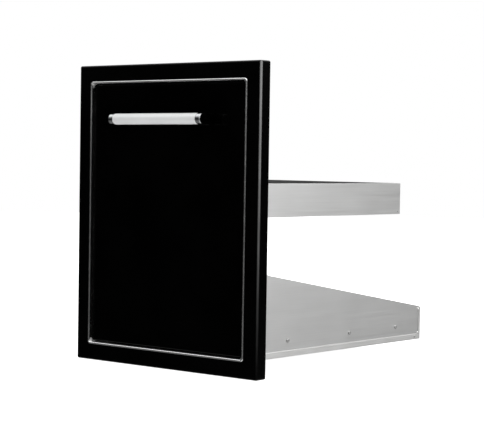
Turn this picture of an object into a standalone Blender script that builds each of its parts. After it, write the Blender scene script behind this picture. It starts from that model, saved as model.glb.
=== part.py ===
"""Built-in pull-out waste drawer (trash drawer) for an outdoor-kitchen cabinet.

Frame of the model: +X to the right seen from the front, -Y towards the user,
+Z up. The origin is the middle of the bottom of the bounding box. Lengths in
the constants are millimetres; P() turns them into metres.

In the comments, "d" is the distance behind the front plane of the face frame
(d = 0 on the frame's front face, negative towards the user), and "o" is the
distance inwards from the frame's outer edge.
"""
import math
import bpy
import bmesh
from mathutils import Vector

for ob in list(bpy.data.objects):
    bpy.data.objects.remove(ob, do_unlink=True)

# ------------------------------------------------------------------ dimensions
FRAME_W = 508.0          # face frame, outside width
FRAME_H = 635.0          # face frame, outside height
FRAME_D = 30.0           # depth of the frame's outer returns
SHEET = 1.5              # sheet thickness of frame, housing, tray and hoop
BEND_R = 4.0             # outside radius of the frame's front bend
CORNER_R = 4.0           # radius of the frame's corners seen from the front
FACE_IN = 34.0           # width of the flat face between outer edge and trim
REAR_LIP = 12.0          # inward lip at the back of the frame

TRIM_O0 = 34.3           # half-round trim round the opening: outer edge
TRIM_O1 = 38.9           # and inner edge
TRIM_LEG = 15.0          # depth of the trim's leg along the opening
OPEN_R0 = 41.4           # the opening's corner radius at inset o is OPEN_R0 - o

DOOR_GAP = 3.0           # gap between trim and door
DOOR_D0 = 7.0            # door face sits this far behind the frame face
DOOR_D1 = 24.0           # back of the door
DOOR_T = 1.2             # door skin thickness
DOOR_R = 2.5             # bend radius round the door face

SIDE_X = 219.0           # outside of the housing sides
SIDE_D0 = 10.6           # front edge of the sides, behind the return round the opening
SLEEVE_D = 69.0          # back edge of the tall narrow sleeve
SLEEVE_TOP = 605.5
HOUSE_D = 632.0          # back of the housing
HOUSE_Z = 33.0           # underside of the housing
ARM_Z0 = 205.0           # height of the side's top edge at the sleeve
ARM_Z1 = 108.0           # and at the back
ARM_R = 10.0             # fillet between sleeve and top edge
PAN_FLANGE = 13.0        # up-turned outer flange of the bottom pan
RIVET_D = 608.0          # rivet through side and pan flange

SLIDE_Z = 67.0           # slide centre height
SLIDE_D0 = 72.0          # slide front end
SLIDE_L = 508.0          # closed length, equal to the travel
LEVER_AT = 215.0         # release lever pivot, behind the slide's front end
SCREW_D = (143.0, 358.0, 533.0)   # slide screws along the side

TRAY_X = 204.5           # outside of the tray
TRAY_Z0 = 43.0
TRAY_Z1 = 100.0
TRAY_D0 = 24.3
TRAY_D1 = 608.0
TRAY_FRONT_Z = 190.0

HOOP_X = 194.0           # outside of the bin hoop
HOOP_Z0 = 320.0
HOOP_Z1 = 390.0
HOOP_D1 = 581.0

HANDLE_Z = 519.0
HANDLE_D = -28.0         # handle axis in front of the frame face
HANDLE_R = 11.5
TUBE_X = 115.4           # half length of the grip tube
FERRULE_X = 128.2        # outer end of the chrome ferrules
POST_X0 = 116.8          # black posts behind the ferrules
POST_X1 = 126.8

HANDLE_FRONT = HANDLE_D - HANDLE_R
Y_MID = (HOUSE_D + HANDLE_FRONT) / 2.0   # depth of the model's middle
MM = 0.001


def P(x, d, z):
    """Millimetres (x, depth, height) to the model's metres."""
    return Vector((x * MM, (d - Y_MID) * MM, z * MM))


# ------------------------------------------------------------------- materials
def material(name, rgb, rough, metal):
    m = bpy.data.materials.new(name)
    m.use_nodes = True
    b = m.node_tree.nodes["Principled BSDF"]
    b.inputs["Base Color"].default_value = (*rgb, 1.0)
    b.inputs["Roughness"].default_value = rough
    b.inputs["Metallic"].default_value = metal
    return m


BLACK = ((0.004, 0.004, 0.004), 0.12, 0.0)
BLACK_SATIN = ((0.012, 0.012, 0.012), 0.40, 0.0)
STEEL = ((0.56, 0.56, 0.56), 0.32, 1.0)
POLISHED = ((0.80, 0.80, 0.80), 0.12, 1.0)
CHROME = ((0.86, 0.87, 0.88), 0.05, 1.0)
GRIP = ((0.72, 0.73, 0.73), 0.30, 1.0)
ZINC = ((0.62, 0.63, 0.65), 0.35, 1.0)
RUBBER = ((0.03, 0.03, 0.03), 0.75, 0.0)
PLASTIC = ((0.02, 0.02, 0.022), 0.45, 0.0)


# --------------------------------------------------------------- shape helpers
def finish_mesh(name, bm, look, angle=30.0):
    """Put a bmesh, given in metres, into a new object with its material."""
    bmesh.ops.remove_doubles(bm, verts=bm.verts, dist=1e-7)
    bmesh.ops.recalc_face_normals(bm, faces=bm.faces)
    me = bpy.data.meshes.new(name)
    bm.to_mesh(me)
    bm.free()
    me.shade_smooth()
    me.set_sharp_from_angle(angle=math.radians(angle))
    ob = bpy.data.objects.new(name, me)
    bpy.context.scene.collection.objects.link(ob)
    if look is not None:
        me.materials.append(material(name, *look))
    return ob


def extrude_outline(name, outline, axis, a0, a1, look):
    """Extrude a closed outline. axis 'x': outline is (d, z); axis 'd':
    outline is (x, z); axis 'z': outline is (x, d)."""
    bm = bmesh.new()

    def place(p, a):
        if axis == "x":
            return P(a, p[0], p[1])
        if axis == "d":
            return P(p[0], a, p[1])
        return P(p[0], p[1], a)

    low = [bm.verts.new(place(p, a0)) for p in outline]
    high = [bm.verts.new(place(p, a1)) for p in outline]
    bm.faces.new(low)
    bm.faces.new(list(reversed(high)))
    n = len(outline)
    for i in range(n):
        j = (i + 1) % n
        bm.faces.new((low[i], high[i], high[j], low[j]))
    return finish_mesh(name, bm, look)


def block(name, x, d, z, look=None):
    """Box between x = (x0, x1), d = (d0, d1), z = (z0, z1)."""
    return extrude_outline(name, [(d[0], z[0]), (d[1], z[0]), (d[1], z[1]), (d[0], z[1])],
                           "x", x[0], x[1], look)


def bent_sheet(points, t, r_in=1.0, seg=3):
    """Outline of a bent sheet of thickness t. points are the sheet's middle
    line with sharp bends; each bend gets the inner radius r_in."""
    rc = r_in + t / 2.0
    mid = []
    n = len(points)
    for i, p in enumerate(points):
        p = Vector(p)
        if i in (0, n - 1):
            q = Vector(points[1]) if i == 0 else Vector(points[n - 2])
            tang = (q - p).normalized() if i == 0 else (p - q).normalized()
            mid.append((p, Vector((-tang.y, tang.x))))
            continue
        a = (p - Vector(points[i - 1])).normalized()
        b = (Vector(points[i + 1]) - p).normalized()
        turn = a.angle_signed(b)            # clockwise positive in mathutils
        half = abs(turn) / 2.0
        back = rc * math.tan(half)
        start = p - a * back
        side = -1.0 if turn > 0 else 1.0    # left turn: side = +1
        na = Vector((-a.y, a.x))
        centre = start + na * rc * side
        for k in range(seg + 1):
            ang = side * abs(turn) * k / seg
            ca, sa = math.cos(ang), math.sin(ang)
            rad = start - centre
            q = centre + Vector((rad.x * ca - rad.y * sa, rad.x * sa + rad.y * ca))
            nn = Vector((na.x * ca - na.y * sa, na.x * sa + na.y * ca))
            mid.append((q, nn))
    left = [(q.x + nn.x * t / 2, q.y + nn.y * t / 2) for q, nn in mid]
    right = [(q.x - nn.x * t / 2, q.y - nn.y * t / 2) for q, nn in mid]
    return left + right[::-1]


def arc(cx, cy, r, a0, a1, seg):
    """Points on an arc, angles in degrees."""
    return [(cx + r * math.cos(math.radians(a0 + (a1 - a0) * k / seg)),
             cy + r * math.sin(math.radians(a0 + (a1 - a0) * k / seg))) for k in range(seg + 1)]


def rounded_rect(hx, hz, zc, r, seg):
    """Corner points of a rounded rectangle in x, z, counter-clockwise."""
    pts = []
    for (sx, sz, a) in ((1, 1, 0), (-1, 1, 90), (-1, -1, 180), (1, -1, 270)):
        cx, cz = sx * (hx - r), zc + sz * (hz - r)
        pts += arc(cx, cz, r, a, a + 90, seg)
    return pts


def rings(profile, hx, hz, zc, radius, seg):
    """One rounded rectangle for each profile point (o, d): inset by o from
    the half sizes hx, hz, at depth d, with corner radius radius(o)."""
    out = []
    for (o, d) in profile:
        out.append([P(x, d, z) for (x, z) in rounded_rect(hx - o, hz - o, zc, radius(o), seg)])
    return out


def sweep_ring(name, profile, hx, hz, zc, radius, seg, look, angle=30.0):
    """Closed profile swept round a rectangle: a frame with mitred corners."""
    bm = bmesh.new()
    rows = [[bm.verts.new(p) for p in ring] for ring in rings(profile, hx, hz, zc, radius, seg)]
    m, n = len(rows), len(rows[0])
    for i in range(m):
        a, b = rows[i], rows[(i + 1) % m]
        for k in range(n):
            l = (k + 1) % n
            bm.faces.new((a[k], a[l], b[l], b[k]))
    return finish_mesh(name, bm, look, angle)


def sweep_pan(name, profile, hx, hz, zc, radius, seg, look, angle=30.0):
    """Open profile swept round a rectangle, its two ends closed by flat
    faces: a folded pan."""
    bm = bmesh.new()
    rows = [[bm.verts.new(p) for p in ring] for ring in rings(profile, hx, hz, zc, radius, seg)]
    n = len(rows[0])
    for a, b in zip(rows, rows[1:]):
        for k in range(n):
            l = (k + 1) % n
            bm.faces.new((a[k], a[l], b[l], b[k]))
    bm.faces.new(rows[0])
    bm.faces.new(list(reversed(rows[-1])))
    return finish_mesh(name, bm, look, angle)


def turned(name, profile, centre, axis, n, look, angle=35.0):
    """Solid of revolution. profile is (position along the axis, radius);
    centre is (x, d, z) and axis 'x' or 'd'. Ends of radius 0 close it."""
    bm = bmesh.new()
    cx, cd, cz = centre
    rows = []
    for (s, r) in profile:
        if r <= 1e-9:
            p = P(cx + s, cd, cz) if axis == "x" else P(cx, cd + s, cz)
            rows.append([bm.verts.new(p)])
            continue
        row = []
        for k in range(n):
            a = 2 * math.pi * (k + 0.5) / n
            u, v = r * math.cos(a), r * math.sin(a)
            row.append(bm.verts.new(P(cx + s, cd + u, cz + v) if axis == "x" else P(cx + u, cd + s, cz + v)))
        rows.append(row)
    loop = rows if len(rows[0]) == 1 else rows + [rows[0]]
    for a, b in zip(loop, loop[1:]):
        for k in range(n):
            l = (k + 1) % n
            if len(a) == 1:
                bm.faces.new((a[0], b[l], b[k]))
            elif len(b) == 1:
                bm.faces.new((a[k], a[l], b[0]))
            else:
                bm.faces.new((a[k], a[l], b[l], b[k]))
    return finish_mesh(name, bm, look, angle)


def rod(name, centre, axis, s0, s1, r, n=16, look=None):
    return turned(name, [(s0, 0), (s0, r), (s1, r), (s1, 0)], centre, axis, n, look)


def balls(name, centres, r, n=6, m=4):
    """Several separate balls in one helper mesh, poles along x."""
    bm = bmesh.new()
    for (cx, cd, cz) in centres:
        rows = []
        for i in range(1, m):
            t = math.pi * i / m
            rows.append([bm.verts.new(P(cx + r * math.cos(t), cd + r * math.sin(t) * math.cos(2 * math.pi * k / n + 0.2),
                                        cz + r * math.sin(t) * math.sin(2 * math.pi * k / n + 0.2))) for k in range(n)])
        top, end = bm.verts.new(P(cx + r, cd, cz)), bm.verts.new(P(cx - r, cd, cz))
        for k in range(n):
            l = (k + 1) % n
            bm.faces.new((top, rows[0][k], rows[0][l]))
            bm.faces.new((end, rows[-1][l], rows[-1][k]))
            for a, b in zip(rows, rows[1:]):
                bm.faces.new((a[k], b[k], b[l], a[l]))
    return finish_mesh(name, bm, None)


def boolean(ob, tool, op):
    mod = ob.modifiers.new(tool.name, "BOOLEAN")
    mod.operation = op
    mod.solver = "EXACT"
    mod.object = tool
    tool.hide_render = True
    tool.display_type = "WIRE"


def cut(ob, *tools):
    for t in tools:
        boolean(ob, t, "DIFFERENCE")


def join(ob, *tools):
    for t in tools:
        boolean(ob, t, "UNION")


def sides(make):
    """Call make(s, name) for the left (s = -1) and the right (s = +1)."""
    for s, word in ((-1, "left"), (1, "right")):
        make(s, word)


def span(s, a, b):
    """x interval a..b mirrored to the side s, low value first."""
    return (a, b) if s > 0 else (-b, -a)


def pan_screw(name, centre, axis, toward, look=ZINC, shank=3.0, r=2.0, head_r=4.2, head=2.2, n=10):
    """Pan-head screw: the head's underside is at centre, the head grows the
    way 'toward' points (+1 or -1 along the axis), the shank the other way."""
    t = toward
    prof = [(t * head, 0), (t * head, head_r * 0.6), (t * head * 0.45, head_r), (0, head_r), (0, r),
            (-t * shank, r), (-t * shank, 0)]
    return turned(name, prof, centre, axis, n, look)


MID_Z = FRAME_H / 2.0
HX, HZ = FRAME_W / 2.0, FRAME_H / 2.0

# ================================================================== face frame
# One sheet folded to a picture frame: flat face, front bend, 30 mm returns, an
# inward lip at the back and a short return round the opening.
prof = [(FACE_IN, 0.0)]
prof += [(BEND_R - BEND_R * math.sin(a), BEND_R - BEND_R * math.cos(a))
         for a in [math.radians(90 * k / 4) for k in range(5)]]
prof += [(0.0, FRAME_D - 2.0), (0.6, FRAME_D - 0.6), (2.0, FRAME_D), (REAR_LIP, FRAME_D),
         (REAR_LIP, FRAME_D - SHEET), (2.0, FRAME_D - SHEET), (SHEET, FRAME_D - 2.0)]
ri = BEND_R - SHEET
prof += [(BEND_R - ri * math.cos(a), BEND_R - ri * math.sin(a))
         for a in [math.radians(90 * k / 3) for k in range(4)]]
prof += [(FACE_IN - SHEET, SHEET), (FACE_IN - SHEET, 10.0), (FACE_IN, 10.0)]
sweep_ring("face_frame", prof, HX, HZ, MID_Z, lambda o: max(CORNER_R - o, 1.0) if o < 20 else OPEN_R0 - o, 3, BLACK)

# Half-round polished trim round the opening, with a leg that lines it.
trim_c = (TRIM_O0 + TRIM_O1) / 2.0
trim_r = (TRIM_O1 - TRIM_O0) / 2.0
prof = [(TRIM_O0, 1.2)] + [(trim_c - trim_r * math.cos(a), -trim_r * math.sin(a))
                           for a in [math.radians(180 * k / 6) for k in range(7)]]
prof += [(TRIM_O1, TRIM_LEG), (TRIM_O1 - 1.2, TRIM_LEG), (TRIM_O1 - 1.2, 1.2)]
sweep_ring("opening_trim", prof, HX, HZ, MID_Z, lambda o: OPEN_R0 - o, 3, POLISHED)

# ===================================================================== housing
ARM_SLOPE = (ARM_Z1 - ARM_Z0) / (HOUSE_D - (SLEEVE_D + 2.0))


def arm_top(d):
    return ARM_Z0 + ARM_SLOPE * (d - (SLEEVE_D + 2.0))


def housing_side(s, word):
    """Side sheet: a tall narrow sleeve in front, a long tapering arm behind,
    and a flange turned inwards along the arm's top edge."""
    ang = math.atan(ARM_SLOPE)
    # fillet centre: ARM_R behind the sleeve's edge and above the sloping line
    fd = SLEEVE_D + ARM_R
    fz = arm_top(fd) + ARM_R / math.cos(ang)
    fil = []
    for k in range(6):
        a = math.radians(180) + (math.radians(90) + ang) * k / 5.0
        fil.append((fd + ARM_R * math.cos(a), fz + ARM_R * math.sin(a)))
    end = HOUSE_D - 1.8
    out = [(SIDE_D0, HOUSE_Z + 1.8), (end, HOUSE_Z + 1.8), (end, arm_top(end))]
    out += fil[::-1] + [(SLEEVE_D, SLEEVE_TOP), (SIDE_D0, SLEEVE_TOP)]
    x = span(s, SIDE_X - SHEET, SIDE_X)
    side = extrude_outline("housing_side_" + word, out, "x", x[0], x[1], STEEL)
    d0, d1 = fd + 8.0, end - 4.0
    xf = span(s, SIDE_X - 11.5, SIDE_X - 0.4)
    lip = extrude_outline("cut_lip_" + word, [(d0, arm_top(d0) - 1.5), (d1, arm_top(d1) - 1.5),
                                              (d1, arm_top(d1)), (d0, arm_top(d0))], "x", xf[0], xf[1], None)
    join(side, lip)
    xc = s * SIDE_X
    for i, d in enumerate(SCREW_D):
        cut(side, rod("cut_screw_%s_%d" % (word, i), (xc, d, SLIDE_Z), "x", -4, 4, 2.4, 10))
    for i, z in enumerate((250.0, 560.0)):
        cut(side, rod("cut_mount_%s_%d" % (word, i), (xc, 45.0, z), "x", -4, 4, 3.0, 12))
    cut(side, rod("cut_rivet_" + word, (xc, RIVET_D, HOUSE_Z + 7.0), "x", -4, 4, 2.0, 10))
    # screws that hold the slide to the side, heads outside
    for i, d in enumerate(SCREW_D):
        pan_screw("slide_screw_%s_%d" % (word, i + 1), (s * (SIDE_X + 0.3), d, SLIDE_Z), "x", s,
                  shank=0.3 + SHEET + 1.3)
    # rivet between side and bottom pan at the back; the rest is spot-welded
    pan_screw("pan_rivet_" + word, (s * (SIDE_X + 0.3 + SHEET + 0.3), RIVET_D, HOUSE_Z + 7.0),
              "x", s, shank=4.4, r=1.6, head_r=3.0, head=1.2, n=10)


sides(housing_side)

# Bottom pan: a floor with flanges turned up outside the two sides.
xo = SIDE_X + 0.3 + SHEET / 2
zm = HOUSE_Z + SHEET / 2
pan = extrude_outline("housing_bottom", bent_sheet([(-xo, HOUSE_Z + PAN_FLANGE), (-xo, zm), (xo, zm),
                                                    (xo, HOUSE_Z + PAN_FLANGE)], SHEET, 0.3, 2),
                      "d", 10.6, HOUSE_D - 1.8, STEEL)


def pan_cuts(s, word):
    xf = span(s, SIDE_X + 0.1, SIDE_X + 3.0)
    cut(pan, extrude_outline("cut_pan_mitre_" + word,
                             [(HOUSE_D - 8.9, 47.5), (HOUSE_D - 0.9, 34.9), (HOUSE_D + 4, 34.9), (HOUSE_D + 4, 47.5)],
                             "x", xf[0], xf[1], None))
    cut(pan, rod("cut_panrivet_" + word, (s * SIDE_X, RIVET_D, HOUSE_Z + 7.0), "x", -5, 5, 2.0, 10))


sides(pan_cuts)

# Rear panel: wraps 8 mm round both sides, with a flange along its top.
xr = SIDE_X + 0.3 + SHEET / 2
rear = extrude_outline("housing_rear", bent_sheet([(-xr, HOUSE_D - 8.0), (-xr, HOUSE_D - SHEET / 2),
                                                   (xr, HOUSE_D - SHEET / 2), (xr, HOUSE_D - 8.0)], SHEET, 0.3, 2),
                       "z", HOUSE_Z, ARM_Z1 - 1.0, STEEL)
join(rear, block("cut_rear_top", (-SIDE_X + 13, SIDE_X - 13), (HOUSE_D - 14, HOUSE_D - 0.7), (ARM_Z1 - 2.5, ARM_Z1 - 1.0)))


def rear_cuts(s, word):
    xf = span(s, SIDE_X, SIDE_X + 3.0)
    cut(rear, extrude_outline("cut_rear_mitre_" + word,
                              [(HOUSE_D - 12, 30), (HOUSE_D - 1.6, 30), (HOUSE_D - 1.6, 36.6),
                               (HOUSE_D - 8.1, 47.0), (HOUSE_D - 12, 47.0)], "x", xf[0], xf[1], None))


sides(rear_cuts)

# Sleeve top: a channel between the two sides behind the frame's top border.
xs = SIDE_X - SHEET - 0.3 - SHEET / 2
sleeve = extrude_outline("sleeve_top", bent_sheet([(-xs, 588.0), (-xs, SLEEVE_TOP - SHEET / 2), (xs, SLEEVE_TOP - SHEET / 2),
                                                   (xs, 588.0)], SHEET, 0.5, 2), "d", TRIM_LEG + 1.0, SLEEVE_D, STEEL)

# Stop angle under the sleeve top: the door's bumpers close against it.
extrude_outline("door_stop", bent_sheet([(29.05, 581.0), (29.05, 602.95), (43.0, 602.95)], SHEET, 0.5, 2),
                "x", -215.0, 215.0, BLACK_SATIN)

# ================================================================ slide members
BALLS = 4
BALL_R = 1.5


def channel_outline(s, u_web, u_edge, half_h, t):
    """C section in (x, z): web nearest to or farthest from the side wall,
    flanges to u_edge. u is the distance from the side wall's inner face."""
    x = lambda u: s * (SIDE_X - SHEET - u)
    z1 = half_h - t / 2
    pts = [(x(u_edge), SLIDE_Z - z1), (x(u_web), SLIDE_Z - z1), (x(u_web), SLIDE_Z + z1), (x(u_edge), SLIDE_Z + z1)]
    return bent_sheet(pts, t, 0.3, 2)


def slide(s, word):
    x = lambda u: s * (SIDE_X - SHEET - u)
    d0, d1 = SLIDE_D0, SLIDE_D0 + SLIDE_L
    outer = extrude_outline("slide_outer_" + word, channel_outline(s, 0.9, 8.5, 22.5, 1.2), "d", d0, d1, ZINC)
    for i, d in enumerate(SCREW_D):
        cut(outer, rod("cut_outer_%s_%d" % (word, i), (x(0.9), d, SLIDE_Z), "x", -2, 2, 2.4, 10))
    extrude_outline("slide_middle_" + word, channel_outline(s, 3.6, 10.2, 17.6, 1.0), "d", d0 + 2, d1 - 2, ZINC)
    inner = extrude_outline("slide_inner_" + word, channel_outline(s, 12.1, 6.0, 12.4, 1.2), "d", d0, d1, ZINC)
    for i, d in enumerate((110.0, 450.0)):
        cut(inner, rod("cut_inner_%s_%d" % (word, i), (x(12.1), d, SLIDE_Z), "x", -2, 2, 2.4, 10))
    cut(inner, rod("cut_pivot_" + word, (x(12.1), d0 + LEVER_AT, SLIDE_Z), "x", -2, 2, 2.4, 12))
    # ball retainers: a thin channel that carries two rows of balls
    for kind, u_web, u_edge, half_h, u_ball, c0, c1 in (("outer", 2.25, 7.6, 19.7, 5.2, d0 + 128.0, d0 + 378.0),
                                                        ("inner", 4.95, 9.6, 14.65, 8.0, d0 + 129.0, d0 + 379.0)):
        cage = extrude_outline("ball_cage_%s_%s" % (kind, word), channel_outline(s, u_web, u_edge, half_h, 0.6),
                               "d", c0, c1, PLASTIC)
        spots = [(x(u_ball), c0 + 15.0 + (c1 - c0 - 30.0) * b / (BALLS - 1), SLIDE_Z + sz * (half_h - 0.3))
                 for sz in (-1, 1) for b in range(BALLS)]
        join(cage, balls("cut_balls_%s_%s" % (kind, word), spots, BALL_R))
    # release lever with its pivot stub in the inner member's web
    lp = d0 + LEVER_AT
    shape = [(lp - 35.0, SLIDE_Z - 2.5), (lp - 29.0, SLIDE_Z - 4.0)] + arc(lp + 2.0, SLIDE_Z, 4.5, -90, 90, 6)
    shape += [(lp - 29.0, SLIDE_Z + 4.0), (lp - 35.0, SLIDE_Z + 2.5)]
    xa = sorted((x(10.0), x(7.6)))
    lever = extrude_outline("release_lever_" + word, shape, "x", xa[0], xa[1], PLASTIC)
    join(lever, rod("cut_lever_stub_" + word, (x(10.6), lp, SLIDE_Z), "x", -1.9, 1.9, 2.0, 10))


sides(slide)

# ======================================================================== door
DHX = HX - TRIM_O1 - DOOR_GAP
DHZ = HZ - TRIM_O1 - DOOR_GAP
prof = [(DOOR_R - DOOR_R * math.sin(a), DOOR_D0 + DOOR_R - DOOR_R * math.cos(a))
        for a in [math.radians(90 * k / 3) for k in range(4)]]
prof += [(0.0, DOOR_D1), (DOOR_T, DOOR_D1), (DOOR_T, DOOR_D0 + DOOR_R), (DOOR_R, DOOR_D0 + DOOR_T)]
skin = sweep_pan("door_skin", prof, DHX, DHZ, MID_Z, lambda o: max(2.5 - o, 0.8), 2, BLACK)
LIN = DOOR_T + 0.4
prof = [(LIN + 1.0, DOOR_D1), (LIN + 0.3, DOOR_D1 - 0.3), (LIN, DOOR_D1 - 1.0), (LIN, DOOR_D1 - 12.0),
        (LIN + DOOR_T, DOOR_D1 - 12.0), (LIN + DOOR_T, DOOR_D1 - DOOR_T)]
liner = sweep_pan("door_liner", prof, DHX, DHZ, MID_Z, lambda o: max(3.0 - o, 0.6), 2, BLACK_SATIN)

for s, word in ((-1, "left"), (1, "right")):
    # handle: chrome ferrule with a spigot in the tube and a round outer edge
    r = HANDLE_R
    f = [(101.0, 0), (101.0, 9.6), (TUBE_X + 0.3, 9.6), (TUBE_X + 0.3, r - 0.5), (TUBE_X + 0.8, r)]
    f += [(FERRULE_X - 3.0 + 3.0 * math.sin(a), r - 3.0 + 3.0 * math.cos(a)) for a in [math.radians(90 * k / 3) for k in range(4)]]
    f += [(FERRULE_X, 0)]
    xm = s * (POST_X0 + POST_X1) / 2
    ferrule = turned("handle_ferrule_" + word, [(s * a, b) for a, b in f], (0.0, HANDLE_D, HANDLE_Z), "x", 28, CHROME)
    cut(ferrule, rod("cut_fe_screw_" + word, (xm, 0.0, HANDLE_Z), "d", HANDLE_D + 3.0, HANDLE_D + 16.0, 2.3, 10))
    # black post from the door to the ferrule: a saddle in front, a wider foot on the door
    out = arc(HANDLE_D, HANDLE_Z, r + 0.3, -60, 60, 8)
    out += [(1.5, HANDLE_Z + 10.2), (DOOR_D0 - 0.3, HANDLE_Z + 12.5),
            (DOOR_D0 - 0.3, HANDLE_Z - 12.5), (1.5, HANDLE_Z - 10.2)]
    xb = span(s, POST_X0, POST_X1)
    br = extrude_outline("handle_bracket_" + word, out, "x", xb[0], xb[1], BLACK)
    cut(br, rod("cut_br_screw_" + word, (xm, 0.0, HANDLE_Z), "d", HANDLE_D + 9.0, 9.0, 2.3, 10))
    cut(skin, rod("cut_skin_screw_" + word, (xm, 0.0, HANDLE_Z), "d", DOOR_D0 - 3, DOOR_D0 + 4, 2.4, 10))
    pan_screw("handle_screw_" + word, (xm, DOOR_D0 + DOOR_T + 0.3, HANDLE_Z), "d", 1, shank=30.0)

    # bumper on the liner's top corners
    turned("door_bumper_" + word, [(0.3, 0), (0.3, 4.5), (2.6, 4.5), (3.4, 4.0), (3.8, 3.0), (3.8, 0)],
           (s * 180.0, DOOR_D1, 586.0), "d", 18, RUBBER)

# grip tube
turned("handle_tube", [(-TUBE_X, 10.0), (-TUBE_X, 11.2), (-TUBE_X + 0.4, 11.5), (TUBE_X - 0.4, 11.5), (TUBE_X, 11.2),
                       (TUBE_X, 10.0)], (0.0, HANDLE_D, HANDLE_Z), "x", 32, GRIP)

# ======================================================================== tray
xt = TRAY_X - SHEET / 2
tray = extrude_outline("drawer_tray", bent_sheet([(-xt, TRAY_Z1), (-xt, TRAY_Z0 + SHEET / 2), (xt, TRAY_Z0 + SHEET / 2),
                                                  (xt, TRAY_Z1)], SHEET, 1.0, 2), "d", TRAY_D0 + 0.6, TRAY_D1 - 0.6, STEEL)
join(tray, block("cut_tray_front", (-TRAY_X, TRAY_X), (TRAY_D0, TRAY_D0 + SHEET), (TRAY_Z0, TRAY_FRONT_Z)),
     block("cut_tray_rear", (-TRAY_X, TRAY_X), (TRAY_D1 - SHEET, TRAY_D1), (TRAY_Z0, TRAY_Z1 - 15)))

GUSSET_SCREW_Z = (80.0, 165.0)
GUSSET_X = 189.0
for s, word in ((-1, "left"), (1, "right")):
    # gusset: a triangular cheek inside the tray, a flange on the tray's front
    xg = span(s, TRAY_X - SHEET - 0.3 - SHEET, TRAY_X - SHEET - 0.3)
    d0 = TRAY_D0 + SHEET + 0.3
    cheek = extrude_outline("gusset_" + word, [(d0, 46.0), (100.0, 46.0), (100.0, 62.0), (d0 + 16, 186.0), (d0, 186.0)],
                            "x", xg[0], xg[1], STEEL)
    xf = span(s, 177.0, TRAY_X - SHEET - 0.6)
    join(cheek, block("cut_gusset_flange_" + word, xf, (d0, d0 + SHEET), (46.4, 185.6)))
    for i, z in enumerate(GUSSET_SCREW_Z):
        c = (s * GUSSET_X, 0.0, z)
        cut(cheek, rod("cut_gus_%s_%d" % (word, i), c, "d", d0 - 3, d0 + 4, 2.4, 10))
        cut(tray, rod("cut_gus_tray_%s_%d" % (word, i), c, "d", TRAY_D0 - 3, TRAY_D0 + 4, 2.4, 10))
        cut(liner, rod("cut_gus_liner_%s_%d" % (word, i), c, "d", DOOR_D1 - 4, DOOR_D1 + 3, 2.4, 10))
        pan_screw("gusset_screw_%s_%s" % (word, ("lower", "upper")[i]), (s * GUSSET_X, d0 + SHEET + 0.3, z), "d", 1,
                  shank=8.0)
    for i, d in enumerate((110.0, 450.0)):
        cx = s * (TRAY_X - SHEET / 2)
        cut(tray, rod("cut_trayslide_%s_%d" % (word, i), (cx, d, SLIDE_Z), "x", -3, 3, 2.4, 10))
        pan_screw("tray_screw_%s_%s" % (word, ("front", "rear")[i]),
                  (s * (TRAY_X - SHEET - (0.3 if i else 2.1)), d, SLIDE_Z), "x", -s, shank=3.0 if i else 4.8,
                  head=1.6)

# ================================================================== bin hoop
xh = HOOP_X - SHEET / 2
hoop = extrude_outline("bin_hoop", bent_sheet([(-xh, TRAY_D0 + 1.9), (-xh, HOOP_D1 - SHEET / 2), (xh, HOOP_D1 - SHEET / 2),
                                               (xh, TRAY_D0 + 1.9)], SHEET, 1.5, 3), "z", HOOP_Z0, HOOP_Z1, STEEL)
xi = HOOP_X - SHEET - 0.3 - SHEET / 2
hf = extrude_outline("hoop_front", bent_sheet([(-xi, 48.0), (-xi, TRAY_D0 + SHEET / 2), (xi, TRAY_D0 + SHEET / 2),
                                               (xi, 48.0)], SHEET, 0.5, 2), "z", HOOP_Z0 + 1.0, HOOP_Z1 - 1.0, STEEL)
for s, word in ((-1, "left"), (1, "right")):
    for i, z in enumerate((HOOP_Z0 + 18, HOOP_Z1 - 18)):
        c = (s * 150.0, 0.0, z)
        cut(hf, rod("cut_hf_%s_%d" % (word, i), c, "d", TRAY_D0 - 3, TRAY_D0 + 4, 2.4, 10))
        cut(liner, rod("cut_hl_%s_%d" % (word, i), c, "d", DOOR_D1 - 4, DOOR_D1 + 3, 2.4, 10))
        pan_screw("hoop_screw_%s_%s" % (word, ("lower", "upper")[i]), (s * 150.0, TRAY_D0 + SHEET + 0.3, z), "d", 1,
                  shank=6.0)
    # rivet through hoop and front channel
    cx = s * (HOOP_X - SHEET)
    cut(hoop, rod("cut_hr_%s" % word, (cx, 38.0, 355.0), "x", -4, 4, 2.0, 10),
        rod("cut_hole_%s" % word, (cx, HOOP_D1 - 11.0, HOOP_Z0 + 6.0), "x", -4, 4, 1.6, 8))
    cut(hf, rod("cut_hfr_%s" % word, (cx, 38.0, 355.0), "x", -4, 4, 2.0, 10))
    pan_screw("hoop_rivet_" + word, (s * (HOOP_X + 0.3), 38.0, 355.0), "x", s, shank=4.2, r=1.6, head_r=3.0,
              head=1.2, n=10)
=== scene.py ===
"""Looks of the pull-out waste drawer: detailed shells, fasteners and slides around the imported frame,
procedural materials, plain studio and camera. Lengths in the helpers are millimetres: x to the right,
d behind the face frame's front plane, z up. P() turns them into metres of the shared frame."""
import math
import bpy
import bmesh
from mathutils import Vector, Matrix


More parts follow.
